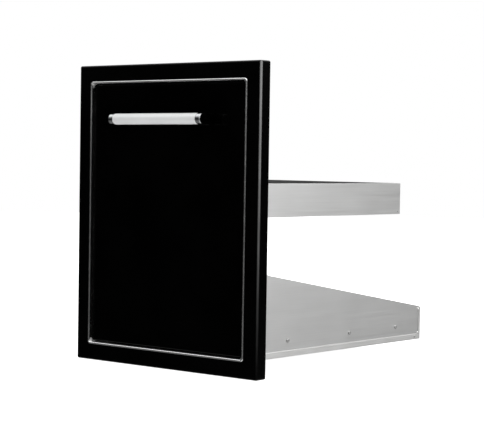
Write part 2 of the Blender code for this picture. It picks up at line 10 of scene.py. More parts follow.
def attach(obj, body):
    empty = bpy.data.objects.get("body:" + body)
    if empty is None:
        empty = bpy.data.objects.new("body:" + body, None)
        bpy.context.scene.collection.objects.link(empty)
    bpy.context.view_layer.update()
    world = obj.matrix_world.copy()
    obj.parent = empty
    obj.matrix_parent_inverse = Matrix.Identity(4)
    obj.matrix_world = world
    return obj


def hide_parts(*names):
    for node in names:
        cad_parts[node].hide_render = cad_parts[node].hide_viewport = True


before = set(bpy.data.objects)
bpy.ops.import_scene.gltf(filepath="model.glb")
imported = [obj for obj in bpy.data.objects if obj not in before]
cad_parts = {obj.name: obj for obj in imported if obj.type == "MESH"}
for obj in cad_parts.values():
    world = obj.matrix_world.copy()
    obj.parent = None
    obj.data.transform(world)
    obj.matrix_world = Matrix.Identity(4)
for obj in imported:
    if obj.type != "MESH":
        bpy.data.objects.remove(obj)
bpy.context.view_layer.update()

# ------------------------------------------------------------------ dimensions
FRAME_W, FRAME_H, FRAME_D = 508.0, 635.0, 30.0
SHEET, BEND_R, CORNER_R = 1.5, 4.0, 4.0
FACE_IN, REAR_LIP = 34.0, 12.0
TRIM_O0, TRIM_O1, TRIM_LEG, OPEN_R0 = 34.3, 38.9, 15.0, 41.4
DOOR_GAP, DOOR_D0, DOOR_D1, DOOR_T, DOOR_R = 3.0, 7.0, 24.0, 1.2, 2.5
SIDE_X, SIDE_D0, SLEEVE_D, SLEEVE_TOP = 219.0, 10.6, 69.0, 605.5
HOUSE_D, HOUSE_Z = 632.0, 33.0
ARM_Z0, ARM_Z1, ARM_R, PAN_FLANGE, RIVET_D = 205.0, 108.0, 10.0, 13.0, 608.0
SLIDE_Z, SLIDE_D0, SLIDE_L, LEVER_AT = 67.0, 72.0, 508.0, 215.0
SCREW_D = (143.0, 358.0, 533.0)
TRAY_X, TRAY_Z0, TRAY_Z1, TRAY_D0, TRAY_D1, TRAY_FRONT_Z = 204.5, 43.0, 100.0, 24.3, 608.0, 190.0
HOOP_X, HOOP_Z0, HOOP_Z1, HOOP_D1 = 194.0, 320.0, 390.0, 581.0
HANDLE_Z, HANDLE_D, HANDLE_R = 519.0, -28.0, 11.5
TUBE_X, FERRULE_X, POST_X0, POST_X1 = 115.4, 128.2, 116.8, 126.8
Y_MID = (HOUSE_D + HANDLE_D - HANDLE_R) / 2.0
GRIP_R = HANDLE_R - 0.07
MID_Z, HX, HZ = FRAME_H / 2.0, FRAME_W / 2.0, FRAME_H / 2.0
MM = 0.001


def P(x, d, z):
    return Vector((x * MM, (d - Y_MID) * MM, z * MM))


# ============================================================== node materials
class Mat:
    """Small helper to build a node tree on a Principled shader."""

    def __init__(self, name, color, rough, metal, **sockets):
        self.m = bpy.data.materials.new(name)
        self.m.use_nodes = True
        self.t = self.m.node_tree
        self.b = self.t.nodes["Principled BSDF"]
        self.b.inputs["Base Color"].default_value = (*color, 1.0)
        self.b.inputs["Roughness"].default_value = rough
        self.b.inputs["Metallic"].default_value = metal
        for k, v in sockets.items():
            self.b.inputs[k.replace("_", " ")].default_value = v
        self.co = self.node("ShaderNodeTexCoord").outputs["Object"]

    def node(self, kind, **props):
        n = self.t.nodes.new(kind)
        for k, v in props.items():
            setattr(n, k, v)
        return n

    def link(self, a, b):
        self.t.links.new(a, b)

    def mapping(self, scale, rot=(0, 0, 0)):
        n = self.node("ShaderNodeMapping")
        n.inputs["Scale"].default_value = scale
        n.inputs["Rotation"].default_value = rot
        self.link(self.co, n.inputs["Vector"])
        return n.outputs["Vector"]

    def noise(self, scale=(1, 1, 1), size=1.0, detail=2.0, rough=0.5, vec=None, distortion=0.0):
        n = self.node("ShaderNodeTexNoise")
        n.inputs["Scale"].default_value = size
        n.inputs["Detail"].default_value = detail
        n.inputs["Roughness"].default_value = rough
        n.inputs["Distortion"].default_value = distortion
        self.link(vec or self.mapping(scale), n.inputs["Vector"])
        return n.outputs["Fac"]

    def remap(self, value, a, b, c, d):
        n = self.node("ShaderNodeMapRange")
        for k, v in (("From Min", a), ("From Max", b), ("To Min", c), ("To Max", d)):
            n.inputs[k].default_value = v
        self.link(value, n.inputs["Value"])
        return n.outputs["Result"]

    def math(self, op, a, b):
        n = self.node("ShaderNodeMath", operation=op)
        for i, v in enumerate((a, b)):
            if isinstance(v, (int, float)):
                n.inputs[i].default_value = v
            else:
                self.link(v, n.inputs[i])
        return n.outputs[0]

    def ramp(self, value, stops):
        n = self.node("ShaderNodeValToRGB")
        e = n.color_ramp.elements
        while len(e) < len(stops):
            e.new(0.5)
        for i, (p, c) in enumerate(stops):
            e[i].position = p
            e[i].color = (*c, 1.0)
        self.link(value, n.inputs["Fac"])
        return n.outputs["Color"]

    def color(self, out):
        self.link(out, self.b.inputs["Base Color"])

    def rough(self, out):
        self.link(out, self.b.inputs["Roughness"])

    def bump(self, heights, strength=0.2, distance=0.0002):
        n = self.node("ShaderNodeBump")
        n.inputs["Strength"].default_value = strength
        n.inputs["Distance"].default_value = distance
        self.link(heights, n.inputs["Height"])
        self.link(n.outputs["Normal"], self.b.inputs["Normal"])


def gloss_black(name="gloss_black_paint", bend_highlight=False, level=0.13):
    m = Mat(name, (0.0004, 0.0004, 0.0004), 0.07, 0.0, Specular_IOR_Level=level)
    cloud = m.noise(size=9.0, detail=4.0)
    paint = m.ramp(cloud, [(0.35, (0.0002, 0.0002, 0.0002)), (0.65, (0.0005, 0.0005, 0.0005))])
    m.rough(m.remap(m.noise(size=26.0, detail=5.0), 0.3, 0.7, 0.05, 0.08))
    peel = m.noise(size=420.0, detail=1.5)
    dust = m.noise(size=2600.0, detail=0.0)
    m.bump(m.math("ADD", peel, m.math("MULTIPLY", dust, 0.12)), 0.10, 0.00012)
    if not bend_highlight:
        m.color(paint)
        return m.m
    # painted highlight: the base colour turns grey along the upright front bends, strongest at the top and fading
    # towards the bottom, standing for the light the bends catch; noise breaks the line up
    sep = m.node("ShaderNodeSeparateXYZ")
    m.link(m.co, sep.inputs[0])
    side = m.remap(m.math("ABSOLUTE", sep.outputs["X"], 0.0), (HX - 3.4) * MM, (HX - 0.5) * MM, 0.0, 1.0)
    front = m.remap(sep.outputs["Y"], -Y_MID * MM, (5.0 - Y_MID) * MM, 1.0, 0.0)
    band = m.math("MULTIPLY", m.math("MULTIPLY", side, front), 2.6)
    height = m.remap(sep.outputs["Z"], 0.0, FRAME_H * MM, 0.03, 1.0)
    fade = m.math("POWER", height, 1.7)
    highlight_breakup = m.remap(m.noise((60, 60, 6), size=3.0, detail=4.0), 0.3, 0.7, 0.75, 1.1)
    fac = m.math("MINIMUM", m.math("MULTIPLY", m.math("MULTIPLY", band, fade), highlight_breakup), 1.0)
    mix = m.node("ShaderNodeMixRGB")
    m.link(fac, mix.inputs[0])
    m.link(paint, mix.inputs[1])
    mix.inputs[2].default_value = (0.165, 0.165, 0.165, 1.0)
    m.color(mix.outputs[0])
    return m.m


def satin_black():
    m = Mat("satin_black_paint", (0.012, 0.012, 0.012), 0.38, 0.0, Specular_IOR_Level=0.4)
    m.color(m.ramp(m.noise(size=14.0, detail=5.0), [(0.35, (0.009, 0.009, 0.009)), (0.65, (0.016, 0.016, 0.016))]))
    m.rough(m.remap(m.noise(size=40.0, detail=4.0), 0.3, 0.7, 0.33, 0.44))
    m.bump(m.noise(size=1500.0, detail=2.0), 0.22, 0.0001)
    return m.m


def brushed(name, axis, color=(0.62, 0.62, 0.615), rough=0.47, depth=0.10, spread=0.04, shaded_inside=None):
    """Brushed stainless sheet. The grain runs along axis ('x', 'y' or 'z') of the shared frame.
    The last argument, (half width, depth), paints shade on the inner face of a band bent round that outline: that face
    gets 0.42 of the tone."""
    m = Mat(name, color, rough, 1.0)
    fine = {"x": (14, 2600, 2600), "y": (2600, 14, 2600), "z": (2600, 2600, 14)}[axis]
    mid = {"x": (4, 420, 420), "y": (420, 4, 420), "z": (420, 420, 4)}[axis]
    a = m.noise(fine, detail=2.0)
    b = m.noise(mid, detail=3.0)
    grain = m.math("ADD", m.math("MULTIPLY", a, 0.6), m.math("MULTIPLY", b, 0.4))
    cloud = m.noise(size=5.5, detail=3.0)
    smudge = m.noise(size=21.0, detail=6.0, rough=0.62, distortion=0.6)
    lo = tuple(c * (1 - spread) for c in color)
    hi = tuple(min(1, c * (1 + spread)) for c in color)
    tone = m.math("ADD", m.math("MULTIPLY", grain, 0.7), m.math("MULTIPLY", cloud, 0.3))
    face = m.ramp(tone, [(0.36, lo), (0.64, hi)])
    # painted shade: the inner faces of the band are darkened to 0.42 of the steel tone
    if shaded_inside:
        sep = m.node("ShaderNodeSeparateXYZ")
        m.link(m.co, sep.inputs[0])
        hx, dd = shaded_inside
        a1 = m.remap(m.math("ABSOLUTE", sep.outputs["X"], 0.0), (hx - 1.0) * MM, (hx - 0.5) * MM, 1.0, 0.0)
        a2 = m.remap(sep.outputs["Y"], (dd - 1.0 - Y_MID) * MM, (dd - 0.5 - Y_MID) * MM, 1.0, 0.0)
        mix = m.node("ShaderNodeMixRGB")
        m.link(m.math("MULTIPLY", a1, a2), mix.inputs[0])
        m.link(face, mix.inputs[1])
        mix.inputs[2].default_value = tuple(c * 0.42 for c in color) + (1.0,)
        face = mix.outputs[0]
    m.color(face)
    r = m.math("ADD", m.remap(smudge, 0.3, 0.75, -0.012, 0.02), m.remap(grain, 0.3, 0.7, rough - 0.05, rough + 0.05))
    m.rough(r)
    m.bump(grain, depth, 0.00008)
    return m.m


def polished(name, color, rough, line=0.04, size=30.0):
    m = Mat(name, color, rough, 1.0)
    cloud = m.noise(size=size, detail=5.0, rough=0.6, distortion=0.4)
    m.color(m.ramp(cloud, [(0.35, tuple(c * 0.95 for c in color)), (0.65, color)]))
    m.rough(m.remap(cloud, 0.3, 0.7, rough - 0.02, rough + 0.035))
    m.bump(m.noise(size=900.0, detail=3.0), line, 0.00006)
    return m.m


def grip_steel():
    m = Mat("grip_satin_steel", (0.84, 0.845, 0.845), 0.56, 0.55)
    ring = m.noise((2400, 60, 60), detail=2.0)
    along = m.noise((30, 900, 900), detail=2.0)
    cloud = m.noise(size=16.0, detail=4.0)
    tone = m.math("ADD", m.math("MULTIPLY", ring, 0.5), m.math("MULTIPLY", cloud, 0.5))
    m.color(m.ramp(tone, [(0.36, (0.79, 0.797, 0.797)), (0.64, (0.86, 0.867, 0.867))]))
    m.rough(m.remap(m.math("ADD", ring, cloud), 0.7, 1.3, 0.54, 0.62))
    m.bump(m.math("ADD", ring, m.math("MULTIPLY", along, 0.4)), 0.10, 0.00006)
    return m.m


def zinc(name="bright_zinc", color=(0.60, 0.62, 0.64), rough=0.30):
    m = Mat(name, color, rough, 1.0)
    v = m.node("ShaderNodeTexVoronoi")
    v.inputs["Scale"].default_value = 160.0
    m.link(m.co, v.inputs["Vector"])
    cloud = m.noise(size=30.0, detail=5.0)
    tone = m.math("ADD", m.math("MULTIPLY", v.outputs["Distance"], 0.25), cloud)
    m.color(m.ramp(tone, [(0.35, tuple(c * 0.88 for c in color)), (0.75, (color[0] * 1.08, color[1] * 1.08, color[2] * 1.04))]))
    m.rough(m.remap(cloud, 0.3, 0.7, rough - 0.06, rough + 0.10))
    m.bump(m.noise((500, 30, 500), detail=3.0), 0.12, 0.0001)
    return m.m


def fastener():
    m = Mat("fastener_steel", (0.50, 0.50, 0.495), 0.55, 1.0)
    cloud = m.noise(size=240.0, detail=4.0)
    m.color(m.ramp(cloud, [(0.3, (0.46, 0.46, 0.455)), (0.7, (0.60, 0.60, 0.595))]))
    m.rough(m.remap(cloud, 0.3, 0.7, 0.50, 0.60))
    m.bump(m.noise(size=2600.0, detail=2.0), 0.12, 0.00008)
    return m.m


def rubber():
    m = Mat("black_rubber", (0.025, 0.025, 0.025), 0.72, 0.0, Specular_IOR_Level=0.3)
    m.color(m.ramp(m.noise(size=300.0, detail=4.0), [(0.3, (0.018, 0.018, 0.018)), (0.7, (0.036, 0.036, 0.035))]))
    m.rough(m.remap(m.noise(size=500.0, detail=2.0), 0.3, 0.7, 0.66, 0.80))
    m.bump(m.noise(size=3200.0, detail=2.0), 0.30, 0.00012)
    return m.m


def plastic():
    m = Mat("moulded_black_plastic", (0.020, 0.020, 0.022), 0.45, 0.0)
    m.color(m.ramp(m.noise(size=60.0, detail=3.0), [(0.3, (0.016, 0.016, 0.018)), (0.7, (0.026, 0.026, 0.028))]))
    m.rough(m.remap(m.noise(size=900.0, detail=2.0), 0.3, 0.7, 0.40, 0.52))
    m.bump(m.noise(size=2400.0, detail=1.0), 0.25, 0.0001)
    return m.m


M = {
    "black": gloss_black(),
    "door_black": gloss_black("gloss_black_door_paint", False, 0.06),
    "frame_black": gloss_black("gloss_black_frame_paint", True),
    "satin": satin_black(),
    "side": brushed("brushed_steel_lengthwise", "y", (0.72, 0.72, 0.715), 0.50),
    # the pan and the rear panel take a lighter steel tone than the side sheets: painted light, standing for the
    # brighter strips where light falls on them
    "pan": brushed("brushed_steel_pan", "y", (0.87, 0.87, 0.86), 0.50),
    "cross": brushed("brushed_steel_crosswise", "x", (0.56, 0.56, 0.555), 0.47),
    "rear": brushed("brushed_steel_rear", "z", (0.86, 0.86, 0.85), 0.50),
    "upright": brushed("brushed_steel_upright", "z"),
    "inner": brushed("brushed_steel_hoop", "y", (0.74, 0.74, 0.735), 0.46, shaded_inside=(HOOP_X, HOOP_D1)),
    "trim": polished("polished_steel_trim", (0.93, 0.93, 0.93), 0.22),
    "chrome": polished("bright_chrome", (0.60, 0.61, 0.62), 0.06, 0.015, 60.0),
    "grip": grip_steel(),
    "zinc": zinc(),
    "cage": zinc("zinc_cage", (0.50, 0.51, 0.53), 0.36),
    "ball": polished("bearing_ball_steel", (0.78, 0.78, 0.79), 0.10, 0.01, 400.0),
    "fastener": fastener(),
    "weld": polished("ground_weld", (0.90, 0.90, 0.88), 0.22, 0.10, 500.0),
    "gusset": polished("satin_corner_gusset", (0.95, 0.95, 0.94), 0.50, 0.06, 300.0),
    "rubber": rubber(),
    "plastic": plastic(),
}


# =============================================================== shape helpers
def new_object(name, bm, look, angle=32.0):
    bmesh.ops.remove_doubles(bm, verts=bm.verts, dist=1e-7)
    bmesh.ops.recalc_face_normals(bm, faces=bm.faces)
    me = bpy.data.meshes.new(name)
    bm.to_mesh(me)
    bm.free()
    me.shade_smooth()
    me.set_sharp_from_angle(angle=math.radians(angle))
    ob = bpy.data.objects.new(name, me)
    bpy.context.scene.collection.objects.link(ob)
    if look:
        me.materials.append(M[look])
    return ob


def place(axis, p, a):
    if axis == "x":
        return P(a, p[0], p[1])
    if axis == "d":
        return P(p[0], a, p[1])
    return P(p[0], p[1], a)


def extrude(name, outline, axis, a0, a1, look=None):
    bm = bmesh.new()
    low = [bm.verts.new(place(axis, p, a0)) for p in outline]
    high = [bm.verts.new(place(axis, p, a1)) for p in outline]
    bm.faces.new(low)
    bm.faces.new(list(reversed(high)))
    n = len(outline)
    for i in range(n):
        j = (i + 1) % n
        bm.faces.new((low[i], high[i], high[j], low[j]))
    return new_object(name, bm, look)


def block(name, x, d, z, look=None):
    return extrude(name, [(d[0], z[0]), (d[1], z[0]), (d[1], z[1]), (d[0], z[1])], "x", x[0], x[1], look)


def arc(cx, cy, r, a0, a1, seg):
    return [(cx + r * math.cos(math.radians(a0 + (a1 - a0) * k / seg)),
             cy + r * math.sin(math.radians(a0 + (a1 - a0) * k / seg))) for k in range(seg + 1)]


def bent(points, t, r_in=1.0, seg=8, round_ends=True):
    """Outline of a bent sheet of thickness t whose middle line has the corners points."""
    rc = r_in + t / 2.0
    mid = []
    n = len(points)
    for i, p in enumerate(points):
        p = Vector(p)
        if i in (0, n - 1):
            q = Vector(points[1]) if i == 0 else Vector(points[n - 2])
            tang = (q - p).normalized() if i == 0 else (p - q).normalized()
            mid.append((p, Vector((-tang.y, tang.x))))
            continue
        a = (p - Vector(points[i - 1])).normalized()
        b = (Vector(points[i + 1]) - p).normalized()
        turn = a.angle_signed(b)
        back = rc * math.tan(abs(turn) / 2.0)
        start = p - a * back
        side = -1.0 if turn > 0 else 1.0
        na = Vector((-a.y, a.x))
        centre = start + na * rc * side
        for k in range(seg + 1):
            ang = side * abs(turn) * k / seg
            ca, sa = math.cos(ang), math.sin(ang)
            rad = start - centre
            q = centre + Vector((rad.x * ca - rad.y * sa, rad.x * sa + rad.y * ca))
            mid.append((q, Vector((na.x * ca - na.y * sa, na.x * sa + na.y * ca))))
    e = min(0.35, t * 0.3) if round_ends else 0.0
    left, right = [], []
    last = len(mid) - 1
    for i, (q, nn) in enumerate(mid):
        if e and i in (0, last):
            # small rounding of the sheet's cut edge
            out = (q - mid[1][0]).normalized() if i == 0 else (q - mid[last - 1][0]).normalized()
            steps = [(e, 0.0), (e * 0.3, e * 0.3), (0.0, e)]
            seq = [(t / 2 - b2, -a2) for a2, b2 in steps]
            if i == last:
                left += [tuple(q + nn * h + out * s) for h, s in seq]
                right += [tuple(q - nn * h + out * s) for h, s in seq]
            else:
                left += [tuple(q + nn * h + out * s) for h, s in reversed(seq)]
                right += [tuple(q - nn * h + out * s) for h, s in reversed(seq)]
        else:
            left.append(tuple(q + nn * t / 2))
            right.append(tuple(q - nn * t / 2))
    return left + right[::-1]


def rounded_rect(hx, hz, zc, r, seg):
    pts = []
    for (sx, sz, a) in ((1, 1, 0), (-1, 1, 90), (-1, -1, 180), (1, -1, 270)):
        pts += arc(sx * (hx - r), zc + sz * (hz - r), r, a, a + 90, seg)
    return pts


def sweep(name, profile, hx, hz, zc, radius, seg, look, closed=True, angle=30.0):
    """Profile of (inset, depth) points swept round a rectangle; an open profile is closed by two flat faces."""
    bm = bmesh.new()
    rows = [[bm.verts.new(P(x, d, z)) for (x, z) in rounded_rect(hx - o, hz - o, zc, radius(o), seg)]
            for (o, d) in profile]
    n = len(rows[0])
    pairs = list(zip(rows, rows[1:])) + ([(rows[-1], rows[0])] if closed else [])
    for a, b in pairs:
        for k in range(n):
            l = (k + 1) % n
            bm.faces.new((a[k], a[l], b[l], b[k]))
    if not closed:
        bm.faces.new(rows[0])
        bm.faces.new(list(reversed(rows[-1])))
    return new_object(name, bm, look, angle)


def turned(name, profile, centre, axis, n, look=None, angle=35.0):
    """Solid of revolution from (position along the axis, radius) points."""
    bm = bmesh.new()
    cx, cd, cz = centre
    rows = []
    for (s, r) in profile:
        if r <= 1e-9:
            p = P(cx + s, cd, cz) if axis == "x" else P(cx, cd + s, cz) if axis == "d" else P(cx, cd, cz + s)
            rows.append([bm.verts.new(p)])
            continue
        row = []
        for k in range(n):
            a = 2 * math.pi * (k + 0.5) / n
            u, v = r * math.cos(a), r * math.sin(a)
            row.append(bm.verts.new(P(cx + s, cd + u, cz + v) if axis == "x" else
                                    P(cx + u, cd + s, cz + v) if axis == "d" else P(cx + u, cd + v, cz + s)))
        rows.append(row)
    loop = rows if len(rows[0]) == 1 else rows + [rows[0]]
    for a, b in zip(loop, loop[1:]):
        for k in range(n):
            l = (k + 1) % n
            if len(a) == 1 and len(b) == 1:
                continue
            if len(a) == 1:
                bm.faces.new((a[0], b[l], b[k]))
            elif len(b) == 1:
                bm.faces.new((a[k], a[l], b[0]))
            else:
                bm.faces.new((a[k], a[l], b[l], b[k]))
    return new_object(name, bm, look, angle)


def rod(name, centre, axis, s0, s1, r, n=24):
    return turned(name, [(s0, 0), (s0, r), (s1, r), (s1, 0)], centre, axis, n)


def bevel(ob, width=0.35, segments=2, angle=40.0):
    mod = ob.modifiers.new("edge", "BEVEL")
    mod.width = width * MM
    mod.segments = segments
    mod.limit_method = "ANGLE"
    mod.angle_limit = math.radians(angle)
    mod.harden_normals = False
    return ob


def combine(ob, tools, op):
    for t in tools:
        mod = ob.modifiers.new(t.name, "BOOLEAN")
        mod.operation = op
        mod.solver = "EXACT"
        mod.object = t
    return ob


def settle(ob, tools=(), angle=32.0):
    """Apply ob's modifiers, remove the tools, and shade by angle."""
    bpy.context.view_layer.update()
    dg = bpy.context.evaluated_depsgraph_get()
    me = bpy.data.meshes.new_from_object(ob.evaluated_get(dg))
    old = ob.data
    look = old.materials[0] if len(old.materials) else None
    ob.modifiers.clear()
    ob.data = me
    me.materials.clear()
    if look:
        me.materials.append(look)
    for p in me.polygons:
        p.material_index = 0
    me.name = ob.name
    for t in tools:
        bpy.data.objects.remove(t, do_unlink=True)
    me.shade_smooth()
    me.set_sharp_from_angle(angle=math.radians(angle))
    return ob


def cut(ob, *tools, angle=32.0):
    combine(ob, tools, "DIFFERENCE")
    return settle(ob, tools, angle)


def weld(ob, *tools, angle=32.0):
    combine(ob, tools, "UNION")
    return settle(ob, tools, angle)


def even(ob):
    """Normals weighted by face area, so that flat faces stay flat beside small bends."""
    ob.modifiers.clear()
    mod = ob.modifiers.new("even", "WEIGHTED_NORMAL")
    mod.mode = "FACE_AREA"
    mod.weight = 80
    mod.keep_sharp = True
    bpy.context.view_layer.update()
    me = bpy.data.meshes.new_from_object(ob.evaluated_get(bpy.context.evaluated_depsgraph_get()))
    me.name = ob.name
    ob.modifiers.clear()
    ob.data = me


def put(ob, body, slot, *nodes):
    """Ride on the body and stand for the nodes; the slot argument is not used."""
    even(ob)
    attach(ob, body)
    if nodes:
        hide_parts(*nodes)
    return ob


def span(s, a, b):
    return (a, b) if s > 0 else (-b, -a)


def cross_recess(name, centre, axis, toward, top, width=3.4, arm=0.95, depth=1.3):
    """Cutters for a cross recess in a screw head."""
    out = []
    t = toward
    for k, (w, h) in enumerate(((width, arm), (arm, width))):
        bm = bmesh.new()
        ring = []
        for s, f in ((top + 0.6, 1.0), (top - depth, 0.55)):
            row = []
            for (u, v) in ((-w / 2 * f, -h / 2), (w / 2 * f, -h / 2), (w / 2 * f, h / 2), (-w / 2 * f, h / 2)) if k == 0 else \
                    ((-w / 2, -h / 2 * f), (w / 2, -h / 2 * f), (w / 2, h / 2 * f), (-w / 2, h / 2 * f)):
                # turned a little, as a driven screw ends anywhere
                a = math.radians(24.0)
                uu, vv = u * math.cos(a) - v * math.sin(a), u * math.sin(a) + v * math.cos(a)
                cx, cd, cz = centre
                row.append(bm.verts.new(P(cx + t * s, cd + uu, cz + vv) if axis == "x" else P(cx + uu, cd + t * s, cz + vv)))
            ring.append(row)
        bm.faces.new(ring[0])
        bm.faces.new(list(reversed(ring[1])))
        for i in range(4):
            j = (i + 1) % 4
            bm.faces.new((ring[0][i], ring[0][j], ring[1][j], ring[1][i]))
        out.append(new_object("tool_recess_%s_%d" % (name, k), bm, None))
    return out


def screw(node, centre, axis, toward, body, shank=3.0, r=2.0, head_r=4.2, head=2.2, look="fastener", n=28, recess=True):
    t = toward
    prof = [(t * head, 0), (t * head, head_r * 0.70), (t * head * 0.98, head_r * 0.80), (t * head * 0.90, head_r * 0.89),
            (t * head * 0.74, head_r * 0.955), (t * head * 0.50, head_r * 0.99), (t * head * 0.24, head_r),
            (t * 0.04, head_r * 0.99), (0, head_r * 0.95), (0, r)]
    s = 0.0
    pitch = 0.7
    while s + pitch < shank - 0.2:
        prof += [(-t * (s + 0.12), r * 0.99), (-t * (s + pitch * 0.5), r * 0.82), (-t * (s + pitch), r * 0.99)]
        s += pitch
    prof += [(-t * (shank - 0.15), r * 0.9), (-t * shank, r * 0.7), (-t * shank, 0)]
    ob = turned(node + "_detail", prof, centre, axis, n, look)
    if recess:
        cut(ob, *cross_recess(node, centre, axis, toward, head, width=head_r * 0.95, arm=head_r * 0.25,
                              depth=min(1.2, head * 0.62)))
    return put(ob, body, "fasteners", node)


def rivet(node, centre, axis, toward, body, shank, r, head_r, head):
    """Tubular rivet: low flanged head with an open bore."""
    t = toward
    bore = min(1.15, r * 0.72)
    prof = [(-t * (shank - 1.0), 0), (-t * (shank - 1.0), bore), (t * head * 0.75, bore), (t * head, bore + 0.25),
            (t * head * 0.96, head_r * 0.62), (t * head * 0.74, head_r * 0.82), (t * head * 0.38, head_r * 0.97),
            (t * 0.1, head_r), (0, head_r * 0.97), (0, r), (-t * (shank - 0.4), r), (-t * shank, r * 0.75), (-t * shank, 0)]
    return put(turned(node + "_detail", prof, centre, axis, 28, "fastener"), body, "fasteners", node)


def sides(make):
    for s, word in ((-1, "left"), (1, "right")):
        make(s, word)


# ================================================================== face frame
prof = [(FACE_IN, 0.0)]
prof += [(BEND_R - BEND_R * math.sin(a), BEND_R - BEND_R * math.cos(a))
         for a in [math.radians(90 * k / 12) for k in range(13)]]
prof += [(0.0, FRAME_D - 2.0)] + [(2.0 - 2.0 * math.cos(a), FRAME_D - 2.0 + 2.0 * math.sin(a))
                                 for a in [math.radians(90 * k / 6) for k in range(1, 7)]]
prof += [(REAR_LIP - 0.3, FRAME_D), (REAR_LIP, FRAME_D - 0.3), (REAR_LIP, FRAME_D - SHEET + 0.3),
         (REAR_LIP - 0.3, FRAME_D - SHEET), (2.0, FRAME_D - SHEET), (SHEET, FRAME_D - 2.0)]
ri = BEND_R - SHEET
prof += [(BEND_R - ri * math.cos(a), BEND_R - ri * math.sin(a)) for a in [math.radians(90 * k / 8) for k in range(9)]]
prof += [(FACE_IN - SHEET - 0.5, SHEET), (FACE_IN - SHEET, SHEET + 0.5), (FACE_IN - SHEET, 9.7),
         (FACE_IN - SHEET + 0.3, 10.0), (FACE_IN - 0.3, 10.0), (FACE_IN, 9.7), (FACE_IN, 0.3), (FACE_IN - 0.3, 0.0)]
prof[0] = (FACE_IN - 0.3, 0.0)
prof.pop()
face = sweep("face_frame_shell", prof, HX, HZ, MID_Z,
             lambda o: max(CORNER_R - o, 1.0) if o < 20 else OPEN_R0 - o, 8, "frame_black")
put(face, "housing", "black_gloss", "face_frame")

# polished trim, half round, with the leg that lines the opening
tc, tr = (TRIM_O0 + TRIM_O1) / 2.0, (TRIM_O1 - TRIM_O0) / 2.0
prof = [(TRIM_O0, 1.2)] + [(tc - tr * math.cos(a), -tr * math.sin(a)) for a in [math.radians(180 * k / 20) for k in range(21)]]
prof += [(TRIM_O1, TRIM_LEG - 0.3), (TRIM_O1 - 0.3, TRIM_LEG), (TRIM_O1 - 0.9, TRIM_LEG), (TRIM_O1 - 1.2, TRIM_LEG - 0.3),
         (TRIM_O1 - 1.2, 1.2)]
trim = sweep("opening_trim_bead", prof, HX, HZ, MID_Z, lambda o: OPEN_R0 - o, 10, "trim")
put(trim, "housing", "polished_trim", "opening_trim")

# small polished gussets in the four corners of the opening
bm = bmesh.new()
for sx in (-1, 1):
    for sz in (-1, 1):
        o = TRIM_O1 + 0.05
        tri = [(o, o), (o + 5.5, o), (o, o + 8.5)]
        front = [bm.verts.new(P(sx * (HX - a), 2.2 + 0.6 * k, MID_Z + sz * (HZ - b))) for k, (a, b) in enumerate(tri)]
        rear = [bm.verts.new(P(sx * (HX - a), 6.2, MID_Z + sz * (HZ - b))) for (a, b) in tri]
        bm.faces.new(front)
        bm.faces.new(list(reversed(rear)))
        for i in range(3):
            j = (i + 1) % 3
            bm.faces.new((front[i], rear[i], rear[j], front[j]))
put(new_object("opening_corner_gussets", bm, "gusset"), "housing", "polished_trim")

# ===================================================================== housing
ARM_SLOPE = (ARM_Z1 - ARM_Z0) / (HOUSE_D - (SLEEVE_D + 2.0))


def arm_top(d):
    return ARM_Z0 + ARM_SLOPE * (d - (SLEEVE_D + 2.0))


def housing_side(s, word):
    ang = math.atan(ARM_SLOPE)
    fd = SLEEVE_D + ARM_R
    fz = arm_top(fd) + ARM_R / math.cos(ang)
    fil = [(fd + ARM_R * math.cos(a), fz + ARM_R * math.sin(a))
           for a in [math.radians(180) + (math.radians(90) + ang) * k / 14.0 for k in range(15)]]
    end = HOUSE_D - 1.8
    out = [(SIDE_D0, HOUSE_Z + 1.8), (end, HOUSE_Z + 1.8), (end, arm_top(end))] + fil[::-1]
    out += [(SLEEVE_D, SLEEVE_TOP), (SIDE_D0, SLEEVE_TOP)]
    x = span(s, SIDE_X - SHEET, SIDE_X)
    side = extrude("housing_side_%s_sheet" % word, out, "x", x[0], x[1], "side")
    d0, d1 = fd + 8.0, end - 4.0
    # flange turned in along the sloping top edge, with a bend radius inside
    bm = bmesh.new()
    rows = []
    for d in (d0, d1):
        zt = arm_top(d)
        sec = [(SIDE_X - SHEET * 0.5, zt - 0.05), (SIDE_X - 11.2, zt - 0.05), (SIDE_X - 11.5, zt - 0.35),
               (SIDE_X - 11.5, zt - SHEET + 0.25), (SIDE_X - 11.2, zt - SHEET), (SIDE_X - SHEET - 1.2, zt - SHEET),
               (SIDE_X - SHEET - 0.35, zt - SHEET - 0.35), (SIDE_X - SHEET + 0.05, zt - SHEET - 1.2),
               (SIDE_X - SHEET * 0.5, zt - SHEET - 1.2)]
        rows.append([bm.verts.new(P(s * xx, d, zz)) for xx, zz in sec])
    n = len(rows[0])
    bm.faces.new(rows[0])
    bm.faces.new(list(reversed(rows[1])))
    for k in range(n):
        l = (k + 1) % n
        bm.faces.new((rows[0][k], rows[0][l], rows[1][l], rows[1][k]))
    lip = new_object("tool_lip_" + word, bm, None)
    weld(side, lip)
    bevel(side, 0.45, 3, 50.0)
    tools = []
    xc = s * SIDE_X
    for i, d in enumerate(SCREW_D):
        tools.append(rod("tool_s%d" % i, (xc, d, SLIDE_Z), "x", -4, 4, 2.4))
    for i, z in enumerate((250.0, 560.0)):
        tools.append(rod("tool_m%d" % i, (xc, 45.0, z), "x", -4, 4, 3.0, 28))
    tools.append(rod("tool_r", (xc, RIVET_D, HOUSE_Z + 7.0), "x", -4, 4, 2.0))
    cut(side, *tools)
    put(side, "housing", "brushed_sheet", "housing_side_" + word)
    for i, d in enumerate(SCREW_D):
        screw("slide_screw_%s_%d" % (word, i + 1), (s * (SIDE_X + 0.3), d, SLIDE_Z), "x", s, "housing",
              shank=0.3 + SHEET + 1.3)
    rivet("pan_rivet_" + word, (s * (SIDE_X + 0.3 + SHEET + 0.3), RIVET_D, HOUSE_Z + 7.0), "x", s, "housing",
          4.4, 1.6, 3.0, 1.2)


sides(housing_side)

